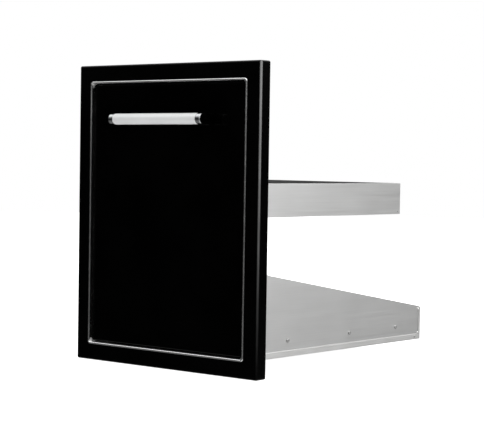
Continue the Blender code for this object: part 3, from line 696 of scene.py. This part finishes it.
xo = SIDE_X + 0.3 + SHEET / 2
zm = HOUSE_Z + SHEET / 2
pan = extrude("housing_bottom_pan", bent([(-xo, HOUSE_Z + PAN_FLANGE), (-xo, zm), (xo, zm), (xo, HOUSE_Z + PAN_FLANGE)],
                                         SHEET, 0.3, 8), "d", 10.6, HOUSE_D - 1.8, "pan")
tools = []
for s in (-1, 1):
    xf = span(s, SIDE_X + 0.1, SIDE_X + 3.0)
    tools.append(extrude("tool_mitre%d" % s, [(HOUSE_D - 8.9, 47.5), (HOUSE_D - 0.9, 34.9), (HOUSE_D + 4, 34.9),
                                              (HOUSE_D + 4, 47.5)], "x", xf[0], xf[1]))
    tools.append(rod("tool_pr%d" % s, (s * SIDE_X, RIVET_D, HOUSE_Z + 7.0), "x", -5, 5, 2.0))
put(cut(pan, *tools), "housing", "brushed_sheet", "housing_bottom")

xr = SIDE_X + 0.3 + SHEET / 2
rear = extrude("housing_rear_panel", bent([(-xr, HOUSE_D - 8.0), (-xr, HOUSE_D - SHEET / 2), (xr, HOUSE_D - SHEET / 2),
                                           (xr, HOUSE_D - 8.0)], SHEET, 0.3, 8), "z", HOUSE_Z, ARM_Z1 - 1.0, "rear")
weld(rear, extrude("tool_rt", [(HOUSE_D - 14, ARM_Z1 - 1.0), (HOUSE_D - 14, ARM_Z1 - 2.5), (HOUSE_D - 2.6, ARM_Z1 - 2.5),
                               (HOUSE_D - 1.9, ARM_Z1 - 3.2), (HOUSE_D - 0.75, ARM_Z1 - 3.2), (HOUSE_D - 0.75, ARM_Z1 - 1.0)],
                   "x", -SIDE_X + 13, SIDE_X - 13))
bevel(rear, 0.4, 2, 55.0)
settle(rear)
tools = []
for s in (-1, 1):
    xf = span(s, SIDE_X, SIDE_X + 3.0)
    tools.append(extrude("tool_rm%d" % s, [(HOUSE_D - 12, 30), (HOUSE_D - 1.6, 30), (HOUSE_D - 1.6, 36.6),
                                           (HOUSE_D - 8.1, 47.0), (HOUSE_D - 12, 47.0)], "x", xf[0], xf[1]))
put(cut(rear, *tools), "housing", "brushed_sheet", "housing_rear")


def tack(bm, s, d, z, rx, rd, rz, seed):
    """A ground tack weld: a low uneven dome on the outside of the housing."""
    n, m = 16, 5
    rows = []
    for i in range(m):
        t = math.pi / 2 * i / m
        row = []
        for k in range(n):
            a = 2 * math.pi * k / n
            w = 1.0 + 0.08 * math.sin(2 * a + seed) + 0.05 * math.sin(3 * a + 2 * seed)
            row.append(bm.verts.new(P(s * (SIDE_X + 0.15 + rx * math.sin(t)), d + rd * w * math.cos(t) * math.cos(a),
                                      z + rz * w * math.cos(t) * math.sin(a))))
        rows.append(row)
    top = bm.verts.new(P(s * (SIDE_X + 0.15 + rx), d, z))
    low = bm.verts.new(P(s * (SIDE_X + 0.1), d, z))
    for a, b in zip(rows, rows[1:]):
        for k in range(n):
            l = (k + 1) % n
            bm.faces.new((a[k], a[l], b[l], b[k]))
    for k in range(n):
        l = (k + 1) % n
        bm.faces.new((rows[-1][k], rows[-1][l], top))
        bm.faces.new((rows[0][l], rows[0][k], low))


bm = bmesh.new()
for s in (-1, 1):
    tack(bm, s, HOUSE_D - 8.8, ARM_Z1 - 5.0, 2.1, 2.4, 2.8, 0.7)
    tack(bm, s, HOUSE_D - 8.9, 48.6, 1.9, 2.6, 2.1, 2.1)
put(new_object("rear_corner_tack_welds", bm, "weld"), "housing", "brushed_sheet")

xs = SIDE_X - SHEET - 0.3 - SHEET / 2
put(extrude("sleeve_top_channel", bent([(-xs, 588.0), (-xs, SLEEVE_TOP - SHEET / 2), (xs, SLEEVE_TOP - SHEET / 2), (xs, 588.0)],
                                       SHEET, 0.5, 8), "d", TRIM_LEG + 1.0, SLEEVE_D, "cross"),
    "housing", "brushed_sheet", "sleeve_top")
put(extrude("door_stop_angle", bent([(29.05, 581.0), (29.05, 602.95), (43.0, 602.95)], SHEET, 0.5, 8),
            "x", -215.0, 215.0, "satin"), "housing", "black_satin", "door_stop")


# ====================================================================== slides
def channel(s, u_web, u_edge, half_h, t, seg=6):
    x = lambda u: s * (SIDE_X - SHEET - u)
    z1 = half_h - t / 2
    return bent([(x(u_edge), SLIDE_Z - z1), (x(u_web), SLIDE_Z - z1), (x(u_web), SLIDE_Z + z1), (x(u_edge), SLIDE_Z + z1)],
                t, 0.35, seg)


def sphere(bm, cx, cd, cz, r, n=14, m=8):
    rows = []
    for i in range(1, m):
        t = math.pi * i / m
        rows.append([bm.verts.new(P(cx + r * math.cos(t), cd + r * math.sin(t) * math.cos(2 * math.pi * k / n),
                                    cz + r * math.sin(t) * math.sin(2 * math.pi * k / n))) for k in range(n)])
    top, end = bm.verts.new(P(cx + r, cd, cz)), bm.verts.new(P(cx - r, cd, cz))
    for k in range(n):
        l = (k + 1) % n
        bm.faces.new((top, rows[0][k], rows[0][l]))
        bm.faces.new((end, rows[-1][l], rows[-1][k]))
        for a, b in zip(rows, rows[1:]):
            bm.faces.new((a[k], b[k], b[l], a[l]))


def slide(s, word):
    x = lambda u: s * (SIDE_X - SHEET - u)
    d0, d1 = SLIDE_D0, SLIDE_D0 + SLIDE_L
    outer = extrude("slide_outer_%s_rail" % word, channel(s, 0.9, 8.5, 22.5, 1.2), "d", d0, d1, "zinc")
    cut(outer, *[rod("tool_o%d" % i, (x(0.9), d, SLIDE_Z), "x", -2, 2, 2.4) for i, d in enumerate(SCREW_D)])
    put(outer, "housing", "zinc_slides", "slide_outer_" + word)
    mid = extrude("slide_middle_%s_rail" % word, channel(s, 3.6, 10.2, 17.6, 1.0), "d", d0 + 2, d1 - 2, "zinc")
    # lightening slots in the web
    slots = []
    for i, d in enumerate((d0 + 120.0, d0 + 254.0, d0 + 388.0)):
        out = arc(d + 12.0, SLIDE_Z, 4.0, -90, 90, 10) + arc(d - 12.0, SLIDE_Z, 4.0, 90, 270, 10)
        xf = sorted((x(3.6) - 2, x(3.6) + 2))
        slots.append(extrude("tool_ms%d" % i, out, "x", xf[0], xf[1]))
    cut(mid, *slots)
    put(mid, "slide_middle_" + word, "zinc_slides", "slide_middle_" + word)
    inner = extrude("slide_inner_%s_rail" % word, channel(s, 12.1, 6.0, 12.4, 1.2), "d", d0, d1, "zinc")
    cut(inner, *([rod("tool_i%d" % i, (x(12.1), d, SLIDE_Z), "x", -2, 2, 2.4) for i, d in enumerate((110.0, 450.0))] +
                 [rod("tool_ip", (x(12.1), d0 + LEVER_AT, SLIDE_Z), "x", -2, 2, 2.4)]))
    put(inner, "drawer", "zinc_slides", "slide_inner_" + word)
    for kind, u_web, u_edge, half_h, u_ball, c0, c1 in (("outer", 2.25, 7.6, 19.7, 5.2, d0 + 128.0, d0 + 378.0),
                                                        ("inner", 4.95, 9.6, 14.65, 8.0, d0 + 129.0, d0 + 379.0)):
        node = "ball_cage_%s_%s" % (kind, word)
        cage = extrude(node + "_strip", channel(s, u_web, u_edge, half_h, 0.6), "d", c0, c1, "cage")
        wins = []
        for i in range(5):
            d = c0 + 25.0 + (c1 - c0 - 50.0) * i / 4
            xf = sorted((x(u_web) - 1.5, x(u_web) + 1.5))
            h = half_h * 0.55
            wins.append(extrude("tool_w%d" % i, [(d - 16, SLIDE_Z - h), (d + 16, SLIDE_Z - h), (d + 16, SLIDE_Z + h),
                                                 (d - 16, SLIDE_Z + h)], "x", xf[0], xf[1]))
        cut(cage, *wins)
        put(cage, node, "cage_steel", node)
        bm = bmesh.new()
        for sz in (-1, 1):
            for b in range(12):
                sphere(bm, x(u_ball), c0 + 12.0 + (c1 - c0 - 24.0) * b / 11, SLIDE_Z + sz * (half_h - 0.3), 1.5)
        put(new_object(node + "_balls", bm, "ball", 60.0), node, "cage_steel")
    lp = d0 + LEVER_AT
    shape = [(lp - 35.0, SLIDE_Z - 1.6)] + [(lp - 34.0, SLIDE_Z - 2.6), (lp - 29.0, SLIDE_Z - 4.0), (lp - 24.0, SLIDE_Z - 4.4)]
    shape += arc(lp + 2.0, SLIDE_Z, 4.5, -90, 90, 16)
    shape += [(lp - 24.0, SLIDE_Z + 4.4), (lp - 29.0, SLIDE_Z + 4.0), (lp - 34.0, SLIDE_Z + 2.6), (lp - 35.0, SLIDE_Z + 1.6)]
    xa = sorted((x(10.0), x(7.6)))
    lever = extrude("release_lever_%s_body" % word, shape, "x", xa[0], xa[1], "plastic")
    bevel(lever, 0.35, 3, 50.0)
    settle(lever)
    weld(lever, rod("tool_st", (x(10.6), lp, SLIDE_Z), "x", -1.9, 1.9, 2.0, 28))
    put(lever, "release_lever_" + word, "black_plastic", "release_lever_" + word)


sides(slide)

# ======================================================================== door
DHX, DHZ = HX - TRIM_O1 - DOOR_GAP, HZ - TRIM_O1 - DOOR_GAP
prof = [(DOOR_R - DOOR_R * math.sin(a), DOOR_D0 + DOOR_R - DOOR_R * math.cos(a))
        for a in [math.radians(90 * k / 10) for k in range(11)]]
prof += [(0.0, DOOR_D1 - 0.3), (0.3, DOOR_D1), (DOOR_T - 0.3, DOOR_D1), (DOOR_T, DOOR_D1 - 0.3),
         (DOOR_T, DOOR_D0 + DOOR_R), (DOOR_R, DOOR_D0 + DOOR_T)]
skin = sweep("door_skin_shell", prof, DHX, DHZ, MID_Z, lambda o: max(2.5 - o, 0.8), 6, "door_black", closed=False)
cut(skin, *[rod("tool_k%d" % s, (s * (POST_X0 + POST_X1) / 2, 0.0, HANDLE_Z), "d", DOOR_D0 - 3, DOOR_D0 + 4, 2.4) for s in (-1, 1)])
put(skin, "drawer", "black_gloss", "door_skin")
LIN = DOOR_T + 0.4
prof = [(LIN + 1.0, DOOR_D1), (LIN + 0.6, DOOR_D1 - 0.1), (LIN + 0.3, DOOR_D1 - 0.3), (LIN + 0.1, DOOR_D1 - 0.6),
        (LIN, DOOR_D1 - 1.0), (LIN, DOOR_D1 - 12.0), (LIN + DOOR_T, DOOR_D1 - 12.0), (LIN + DOOR_T, DOOR_D1 - DOOR_T)]
liner = sweep("door_liner_pan", prof, DHX, DHZ, MID_Z, lambda o: max(3.0 - o, 0.6), 5, "satin", closed=False)
GUSSET_SCREW_Z, GUSSET_X = (80.0, 165.0), 189.0
tools = []
for s in (-1, 1):
    for z in GUSSET_SCREW_Z:
        tools.append(rod("tool_g%d_%d" % (s, z), (s * GUSSET_X, 0.0, z), "d", DOOR_D1 - 4, DOOR_D1 + 3, 2.4))
    for z in (HOOP_Z0 + 18, HOOP_Z1 - 18):
        tools.append(rod("tool_h%d_%d" % (s, z), (s * 150.0, 0.0, z), "d", DOOR_D1 - 4, DOOR_D1 + 3, 2.4))
cut(liner, *tools)
put(liner, "drawer", "black_satin", "door_liner")

for s, word in ((-1, "left"), (1, "right")):
    # chrome ferrule: spigot in the tube, a fine step at the tube's end, a round outer edge
    r = GRIP_R
    f = [(101.0, 0), (101.0, 9.2), (101.4, 9.6), (TUBE_X + 0.3, 9.6), (TUBE_X + 0.3, r - 0.5)] + \
        [(TUBE_X + 0.8 - 0.5 * math.cos(a), r - 0.5 + 0.5 * math.sin(a)) for a in [math.radians(90 * k / 5) for k in range(1, 6)]] + \
        [(FERRULE_X - 1.8 + 1.8 * math.sin(a), r - 1.8 + 1.8 * math.cos(a)) for a in [math.radians(90 * k / 12) for k in range(13)]] + \
        [(FERRULE_X, 4.0), (FERRULE_X, 0)]
    xm = s * (POST_X0 + POST_X1) / 2
    collar = turned("handle_ferrule_%s_collar" % word, [(s * a, b) for a, b in f], (0.0, HANDLE_D, HANDLE_Z), "x", 96, "chrome", 25.0)
    cut(collar, rod("tool_fs", (xm, 0.0, HANDLE_Z), "d", HANDLE_D + 3.0, HANDLE_D + 16.0, 2.3), angle=25.0)
    put(collar, "drawer", "chrome_parts", "handle_ferrule_" + word)
    # black post from the door to the ferrule, with a saddle in front and a wider foot
    out = arc(HANDLE_D, HANDLE_Z, r + 0.3, -60, 60, 24)
    out += [(-2.0, HANDLE_Z + 10.2), (1.5, HANDLE_Z + 10.5), (4.5, HANDLE_Z + 11.4), (DOOR_D0 - 0.3, HANDLE_Z + 12.4),
            (DOOR_D0 - 0.3, HANDLE_Z - 12.4), (4.5, HANDLE_Z - 11.4), (1.5, HANDLE_Z - 10.5), (-2.0, HANDLE_Z - 10.2)]
    xb = span(s, POST_X0, POST_X1)
    br = extrude("handle_bracket_%s_post" % word, out, "x", xb[0], xb[1], "black")
    bevel(br, 0.7, 4, 60.0)
    settle(br)
    cut(br, rod("tool_bw", (xm, 0.0, HANDLE_Z), "d", HANDLE_D + 9.0, 9.0, 2.3))
    put(br, "drawer", "black_gloss", "handle_bracket_" + word)
    screw("handle_screw_" + word, (xm, DOOR_D0 + DOOR_T + 0.3, HANDLE_Z), "d", 1, "drawer", shank=30.0, recess=False)
    bp = [(0.3, 0), (0.3, 4.2), (0.5, 4.5), (2.2, 4.5)] + \
         [(2.2 + 1.6 * math.sin(a), 2.9 + 1.6 * math.cos(a)) for a in [math.radians(90 * k / 8) for k in range(1, 9)]] + [(3.8, 0)]
    put(turned("door_bumper_%s_pad" % word, bp, (s * 180.0, DOOR_D1, 586.0), "d", 40, "rubber"),
        "drawer", "rubber_parts", "door_bumper_" + word)

tp = [(-TUBE_X, 10.0), (-TUBE_X, GRIP_R - 0.4)] + [(-TUBE_X + 0.4 - 0.4 * math.cos(a), GRIP_R - 0.4 + 0.4 * math.sin(a)) for a in [math.radians(90 * k / 4) for k in range(1, 5)]]
tp += [(-a, r) for a, r in tp[::-1]]
put(turned("handle_grip_tube", tp, (0.0, HANDLE_D, HANDLE_Z), "x", 128, "grip", 25.0), "drawer", "grip_steel", "handle_tube")

# ======================================================================== tray
xt = TRAY_X - SHEET / 2
tray = extrude("drawer_tray_pan", bent([(-xt, TRAY_Z1), (-xt, TRAY_Z0 + SHEET / 2), (xt, TRAY_Z0 + SHEET / 2), (xt, TRAY_Z1)],
                                       SHEET, 1.0, 8), "d", TRAY_D0 + 0.6, TRAY_D1 - 0.6, "side")
weld(tray, block("tool_tf", (-TRAY_X, TRAY_X), (TRAY_D0, TRAY_D0 + SHEET), (TRAY_Z0, TRAY_FRONT_Z)),
     block("tool_tr", (-TRAY_X, TRAY_X), (TRAY_D1 - SHEET, TRAY_D1), (TRAY_Z0, TRAY_Z1 - 15)))
bevel(tray, 0.4, 2, 60.0)
settle(tray)
tools = []
for s in (-1, 1):
    for z in GUSSET_SCREW_Z:
        tools.append(rod("tool_a%d_%d" % (s, z), (s * GUSSET_X, 0.0, z), "d", TRAY_D0 - 3, TRAY_D0 + 4, 2.4))
    for d in (110.0, 450.0):
        tools.append(rod("tool_b%d_%d" % (s, d), (s * (TRAY_X - SHEET / 2), d, SLIDE_Z), "x", -3, 3, 2.4))
cut(tray, *tools)
put(tray, "drawer", "brushed_sheet", "drawer_tray")

for s, word in ((-1, "left"), (1, "right")):
    xg = span(s, TRAY_X - SHEET - 0.3 - SHEET, TRAY_X - SHEET - 0.3)
    d0 = TRAY_D0 + SHEET + 0.3
    cheek = extrude("gusset_%s_bracket" % word, [(d0, 46.0), (98.0, 46.0), (100.0, 48.0), (100.0, 61.0), (99.4, 62.5), (d0 + 17, 185.0),
                                                 (d0 + 15, 186.0), (d0, 186.0)], "x", xg[0], xg[1], "upright")
    xf = span(s, 177.0, TRAY_X - SHEET - 0.6)
    weld(cheek, block("tool_gf", xf, (d0, d0 + SHEET), (46.4, 185.6)))
    bevel(cheek, 0.35, 2, 60.0)
    settle(cheek)
    cut(cheek, *[rod("tool_c%d" % z, (s * GUSSET_X, 0.0, z), "d", d0 - 3, d0 + 4, 2.4) for z in GUSSET_SCREW_Z])
    put(cheek, "drawer", "brushed_sheet", "gusset_" + word)
    for i, z in enumerate(GUSSET_SCREW_Z):
        screw("gusset_screw_%s_%s" % (word, ("lower", "upper")[i]), (s * GUSSET_X, d0 + SHEET + 0.3, z), "d", 1, "drawer", shank=8.0)
    for i, d in enumerate((110.0, 450.0)):
        screw("tray_screw_%s_%s" % (word, ("front", "rear")[i]), (s * (TRAY_X - SHEET - (0.3 if i else 2.1)), d, SLIDE_Z),
              "x", -s, "drawer", shank=3.0 if i else 4.8, head=1.6)

# ================================================================== bin hoop
xh = HOOP_X - SHEET / 2
hoop = extrude("bin_hoop_band", bent([(-xh, TRAY_D0 + 1.9), (-xh, HOOP_D1 - SHEET / 2), (xh, HOOP_D1 - SHEET / 2), (xh, TRAY_D0 + 1.9)],
                                     SHEET, 1.5, 10), "z", HOOP_Z0, HOOP_Z1, "inner")
bevel(hoop, 0.4, 3, 60.0)
settle(hoop)
tools = []
for s in (-1, 1):
    cx = s * (HOOP_X - SHEET)
    tools += [rod("tool_hr%d" % s, (cx, 38.0, 355.0), "x", -4, 4, 2.0),
              rod("tool_hh%d" % s, (cx, HOOP_D1 - 11.0, HOOP_Z0 + 6.0), "x", -4, 4, 1.6)]
cut(hoop, *tools)
put(hoop, "drawer", "brushed_sheet", "bin_hoop")
xi = HOOP_X - SHEET - 0.3 - SHEET / 2
hf = extrude("hoop_front_strip", bent([(-xi, 48.0), (-xi, TRAY_D0 + SHEET / 2), (xi, TRAY_D0 + SHEET / 2), (xi, 48.0)], SHEET, 0.5, 8),
             "z", HOOP_Z0 + 1.0, HOOP_Z1 - 1.0, "cross")
bevel(hf, 0.4, 2, 60.0)
settle(hf)
tools = []
for s in (-1, 1):
    for z in (HOOP_Z0 + 18, HOOP_Z1 - 18):
        tools.append(rod("tool_f%d_%d" % (s, z), (s * 150.0, 0.0, z), "d", TRAY_D0 - 3, TRAY_D0 + 4, 2.4))
    tools.append(rod("tool_fr%d" % s, (s * (HOOP_X - SHEET), 38.0, 355.0), "x", -4, 4, 2.0))
cut(hf, *tools)
put(hf, "drawer", "brushed_sheet", "hoop_front")
for s, word in ((-1, "left"), (1, "right")):
    for i, z in enumerate((HOOP_Z0 + 18, HOOP_Z1 - 18)):
        screw("hoop_screw_%s_%s" % (word, ("lower", "upper")[i]), (s * 150.0, TRAY_D0 + SHEET + 0.3, z), "d", 1, "drawer", shank=6.0)
    rivet("hoop_rivet_" + word, (s * (HOOP_X + 0.3), 38.0, 355.0), "x", s, "drawer", 4.2, 1.6, 3.0, 1.2)

# ====================================================================== studio
# camera: placed by its distance and the two angles of the view
H = FRAME_H
yaw, pitch, roll = 0.69715, 0.04045, 0.01579
t = Vector((-0.56883, 0.46308, 5.46404))
Ry = Matrix(((math.cos(yaw), 0, math.sin(yaw)), (0, 1, 0), (-math.sin(yaw), 0, math.cos(yaw))))
Rx = Matrix(((1, 0, 0), (0, math.cos(pitch), -math.sin(pitch)), (0, math.sin(pitch), math.cos(pitch))))
Rz = Matrix(((math.cos(roll), -math.sin(roll), 0), (math.sin(roll), math.cos(roll), 0), (0, 0, 1)))
R = Rz @ Rx @ Ry @ Matrix(((1, 0, 0), (0, 0, -1), (0, 1, 0)))
C = -(R.transposed() @ t)
centre = P(C.x * H - FRAME_W / 2, C.y * H, C.z * H)
cam = bpy.data.cameras.new("camera")
cam.sensor_width = 36.0
cam.lens = 1587.18 / 484.0 * 36.0
cam.clip_end = 50.0
cam_ob = bpy.data.objects.new("camera", cam)
bpy.context.scene.collection.objects.link(cam_ob)
rot = Matrix((R[0], -R[1], -R[2])).transposed()
cam_ob.matrix_world = Matrix.Translation(centre) @ rot.to_4x4()
bpy.context.scene.camera = cam_ob

scene = bpy.context.scene
scene.view_settings.view_transform = "Standard"

# floor: plain, pale, a little self-lit so that it stays as pale as the backdrop
fm = bpy.data.materials.new("pale_floor")
fm.use_nodes = True
nt = fm.node_tree
nt.nodes.clear()
o_ = nt.nodes.new("ShaderNodeOutputMaterial")
df = nt.nodes.new("ShaderNodeBsdfDiffuse")
df.inputs["Color"].default_value = (0.86, 0.86, 0.86, 1)
em = nt.nodes.new("ShaderNodeEmission")
em.inputs["Color"].default_value = (1, 1, 1, 1)
em.inputs["Strength"].default_value = 0.72
ad = nt.nodes.new("ShaderNodeAddShader")
nt.links.new(df.outputs[0], ad.inputs[0])
nt.links.new(em.outputs[0], ad.inputs[1])
nt.links.new(ad.outputs[0], o_.inputs[0])
bm = bmesh.new()
bmesh.ops.create_circle(bm, cap_ends=True, radius=9.0, segments=96)
me = bpy.data.meshes.new("floor")
bm.to_mesh(me)
bm.free()
me.materials.append(fm)
floor = bpy.data.objects.new("floor", me)
floor.location = (0, 0, -0.0004)
floor.visible_glossy = False
scene.collection.objects.link(floor)

# world: white backdrop, and a soft surround that is dark at the horizon in front
world = bpy.data.worlds.new("studio")
scene.world = world
world.use_nodes = True
wt = world.node_tree
wt.nodes.clear()


def wn(kind, **props):
    n = wt.nodes.new(kind)
    for k, v in props.items():
        setattr(n, k, v)
    return n


tcw = wn("ShaderNodeTexCoord")
sep = wn("ShaderNodeSeparateXYZ")
wt.links.new(tcw.outputs["Generated"], sep.inputs[0])
up = wn("ShaderNodeMapRange")
up.inputs["From Min"].default_value = -1.0
up.inputs["From Max"].default_value = 1.0
wt.links.new(sep.outputs["Z"], up.inputs["Value"])
ramp = wn("ShaderNodeValToRGB")
stops = [(-1.0, 0.80), (-0.75, 0.72), (-0.42, 0.42), (-0.20, 0.12), (-0.08, 0.03), (0.0, 0.02), (0.03, 0.04),
         (0.10, 0.22), (0.42, 0.95), (0.75, 1.40), (1.0, 1.45)]
e = ramp.color_ramp.elements
while len(e) < len(stops):
    e.new(0.5)
for i, (z, v) in enumerate(stops):
    e[i].position = (z + 1) / 2
    e[i].color = (v / 1.45, v / 1.45, v / 1.45, 1)
wt.links.new(up.outputs["Result"], ramp.inputs["Fac"])
# the rear half is lighter than the front
rear_mix = wn("ShaderNodeMapRange")
rear_mix.inputs["From Min"].default_value = 0.88
rear_mix.inputs["From Max"].default_value = 1.0
rear_mix.inputs["To Min"].default_value = 0.0
rear_mix.inputs["To Max"].default_value = 0.30
wt.links.new(sep.outputs["Y"], rear_mix.inputs["Value"])
scale = wn("ShaderNodeMath", operation="MULTIPLY")
scale.inputs[1].default_value = 1.45
wt.links.new(ramp.outputs["Color"], scale.inputs[0])
add = wn("ShaderNodeMath", operation="ADD")
wt.links.new(scale.outputs[0], add.inputs[0])
wt.links.new(rear_mix.outputs["Result"], add.inputs[1])


def world_range(value, a, b, c, d):
    n = wn("ShaderNodeMapRange")
    for k, v in (("From Min", a), ("From Max", b), ("To Min", c), ("To Max", d)):
        n.inputs[k].default_value = v
    wt.links.new(value, n.inputs["Value"])
    return n.outputs["Result"]


def world_mul(a, b):
    n = wn("ShaderNodeMath", operation="MULTIPLY")
    wt.links.new(a, n.inputs[0])
    if isinstance(b, float):
        n.inputs[1].default_value = b
    else:
        wt.links.new(b, n.inputs[1])
    return n.outputs[0]


# a dark screen stands low in front on the left
left = world_range(sep.outputs["X"], -0.15, -0.50, 0.0, 1.0)
front = world_range(sep.outputs["Y"], 0.50, 0.25, 0.0, 1.0)
low = world_range(sep.outputs["Z"], 0.62, 0.38, 0.0, 1.0)
screen = world_mul(world_mul(left, front), low)
shade = wn("ShaderNodeMath", operation="SUBTRACT")
shade.inputs[0].default_value = 1.0
wt.links.new(world_mul(screen, 0.72), shade.inputs[1])
bg_env = wn("ShaderNodeBackground")
bg_env.inputs["Color"].default_value = (1, 1, 1, 1)
wt.links.new(world_mul(add.outputs[0], shade.outputs[0]), bg_env.inputs["Strength"])
bg_white = wn("ShaderNodeBackground")
bg_white.inputs["Color"].default_value = (1, 1, 1, 1)
bg_white.inputs["Strength"].default_value = 1.0
lp = wn("ShaderNodeLightPath")
mix = wn("ShaderNodeMixShader")
wt.links.new(lp.outputs["Is Camera Ray"], mix.inputs[0])
wt.links.new(bg_env.outputs[0], mix.inputs[1])
wt.links.new(bg_white.outputs[0], mix.inputs[2])
wout = wn("ShaderNodeOutputWorld")
wt.links.new(mix.outputs[0], wout.inputs[0])


def softbox(name, at, target, w, h, power):
    la = bpy.data.lights.new(name, "AREA")
    la.shape = "RECTANGLE"
    la.size, la.size_y = w, h
    la.energy = power
    ob = bpy.data.objects.new(name, la)
    ob.location = at
    ob.rotation_euler = (Vector(target) - Vector(at)).to_track_quat("-Z", "Y").to_euler()
    ob.visible_camera = False
    scene.collection.objects.link(ob)
    return ob


softbox("side_softbox", (2.3, 0.75, 1.15), (0.2, 0.0, 0.35), 1.5, 1.7, 32)
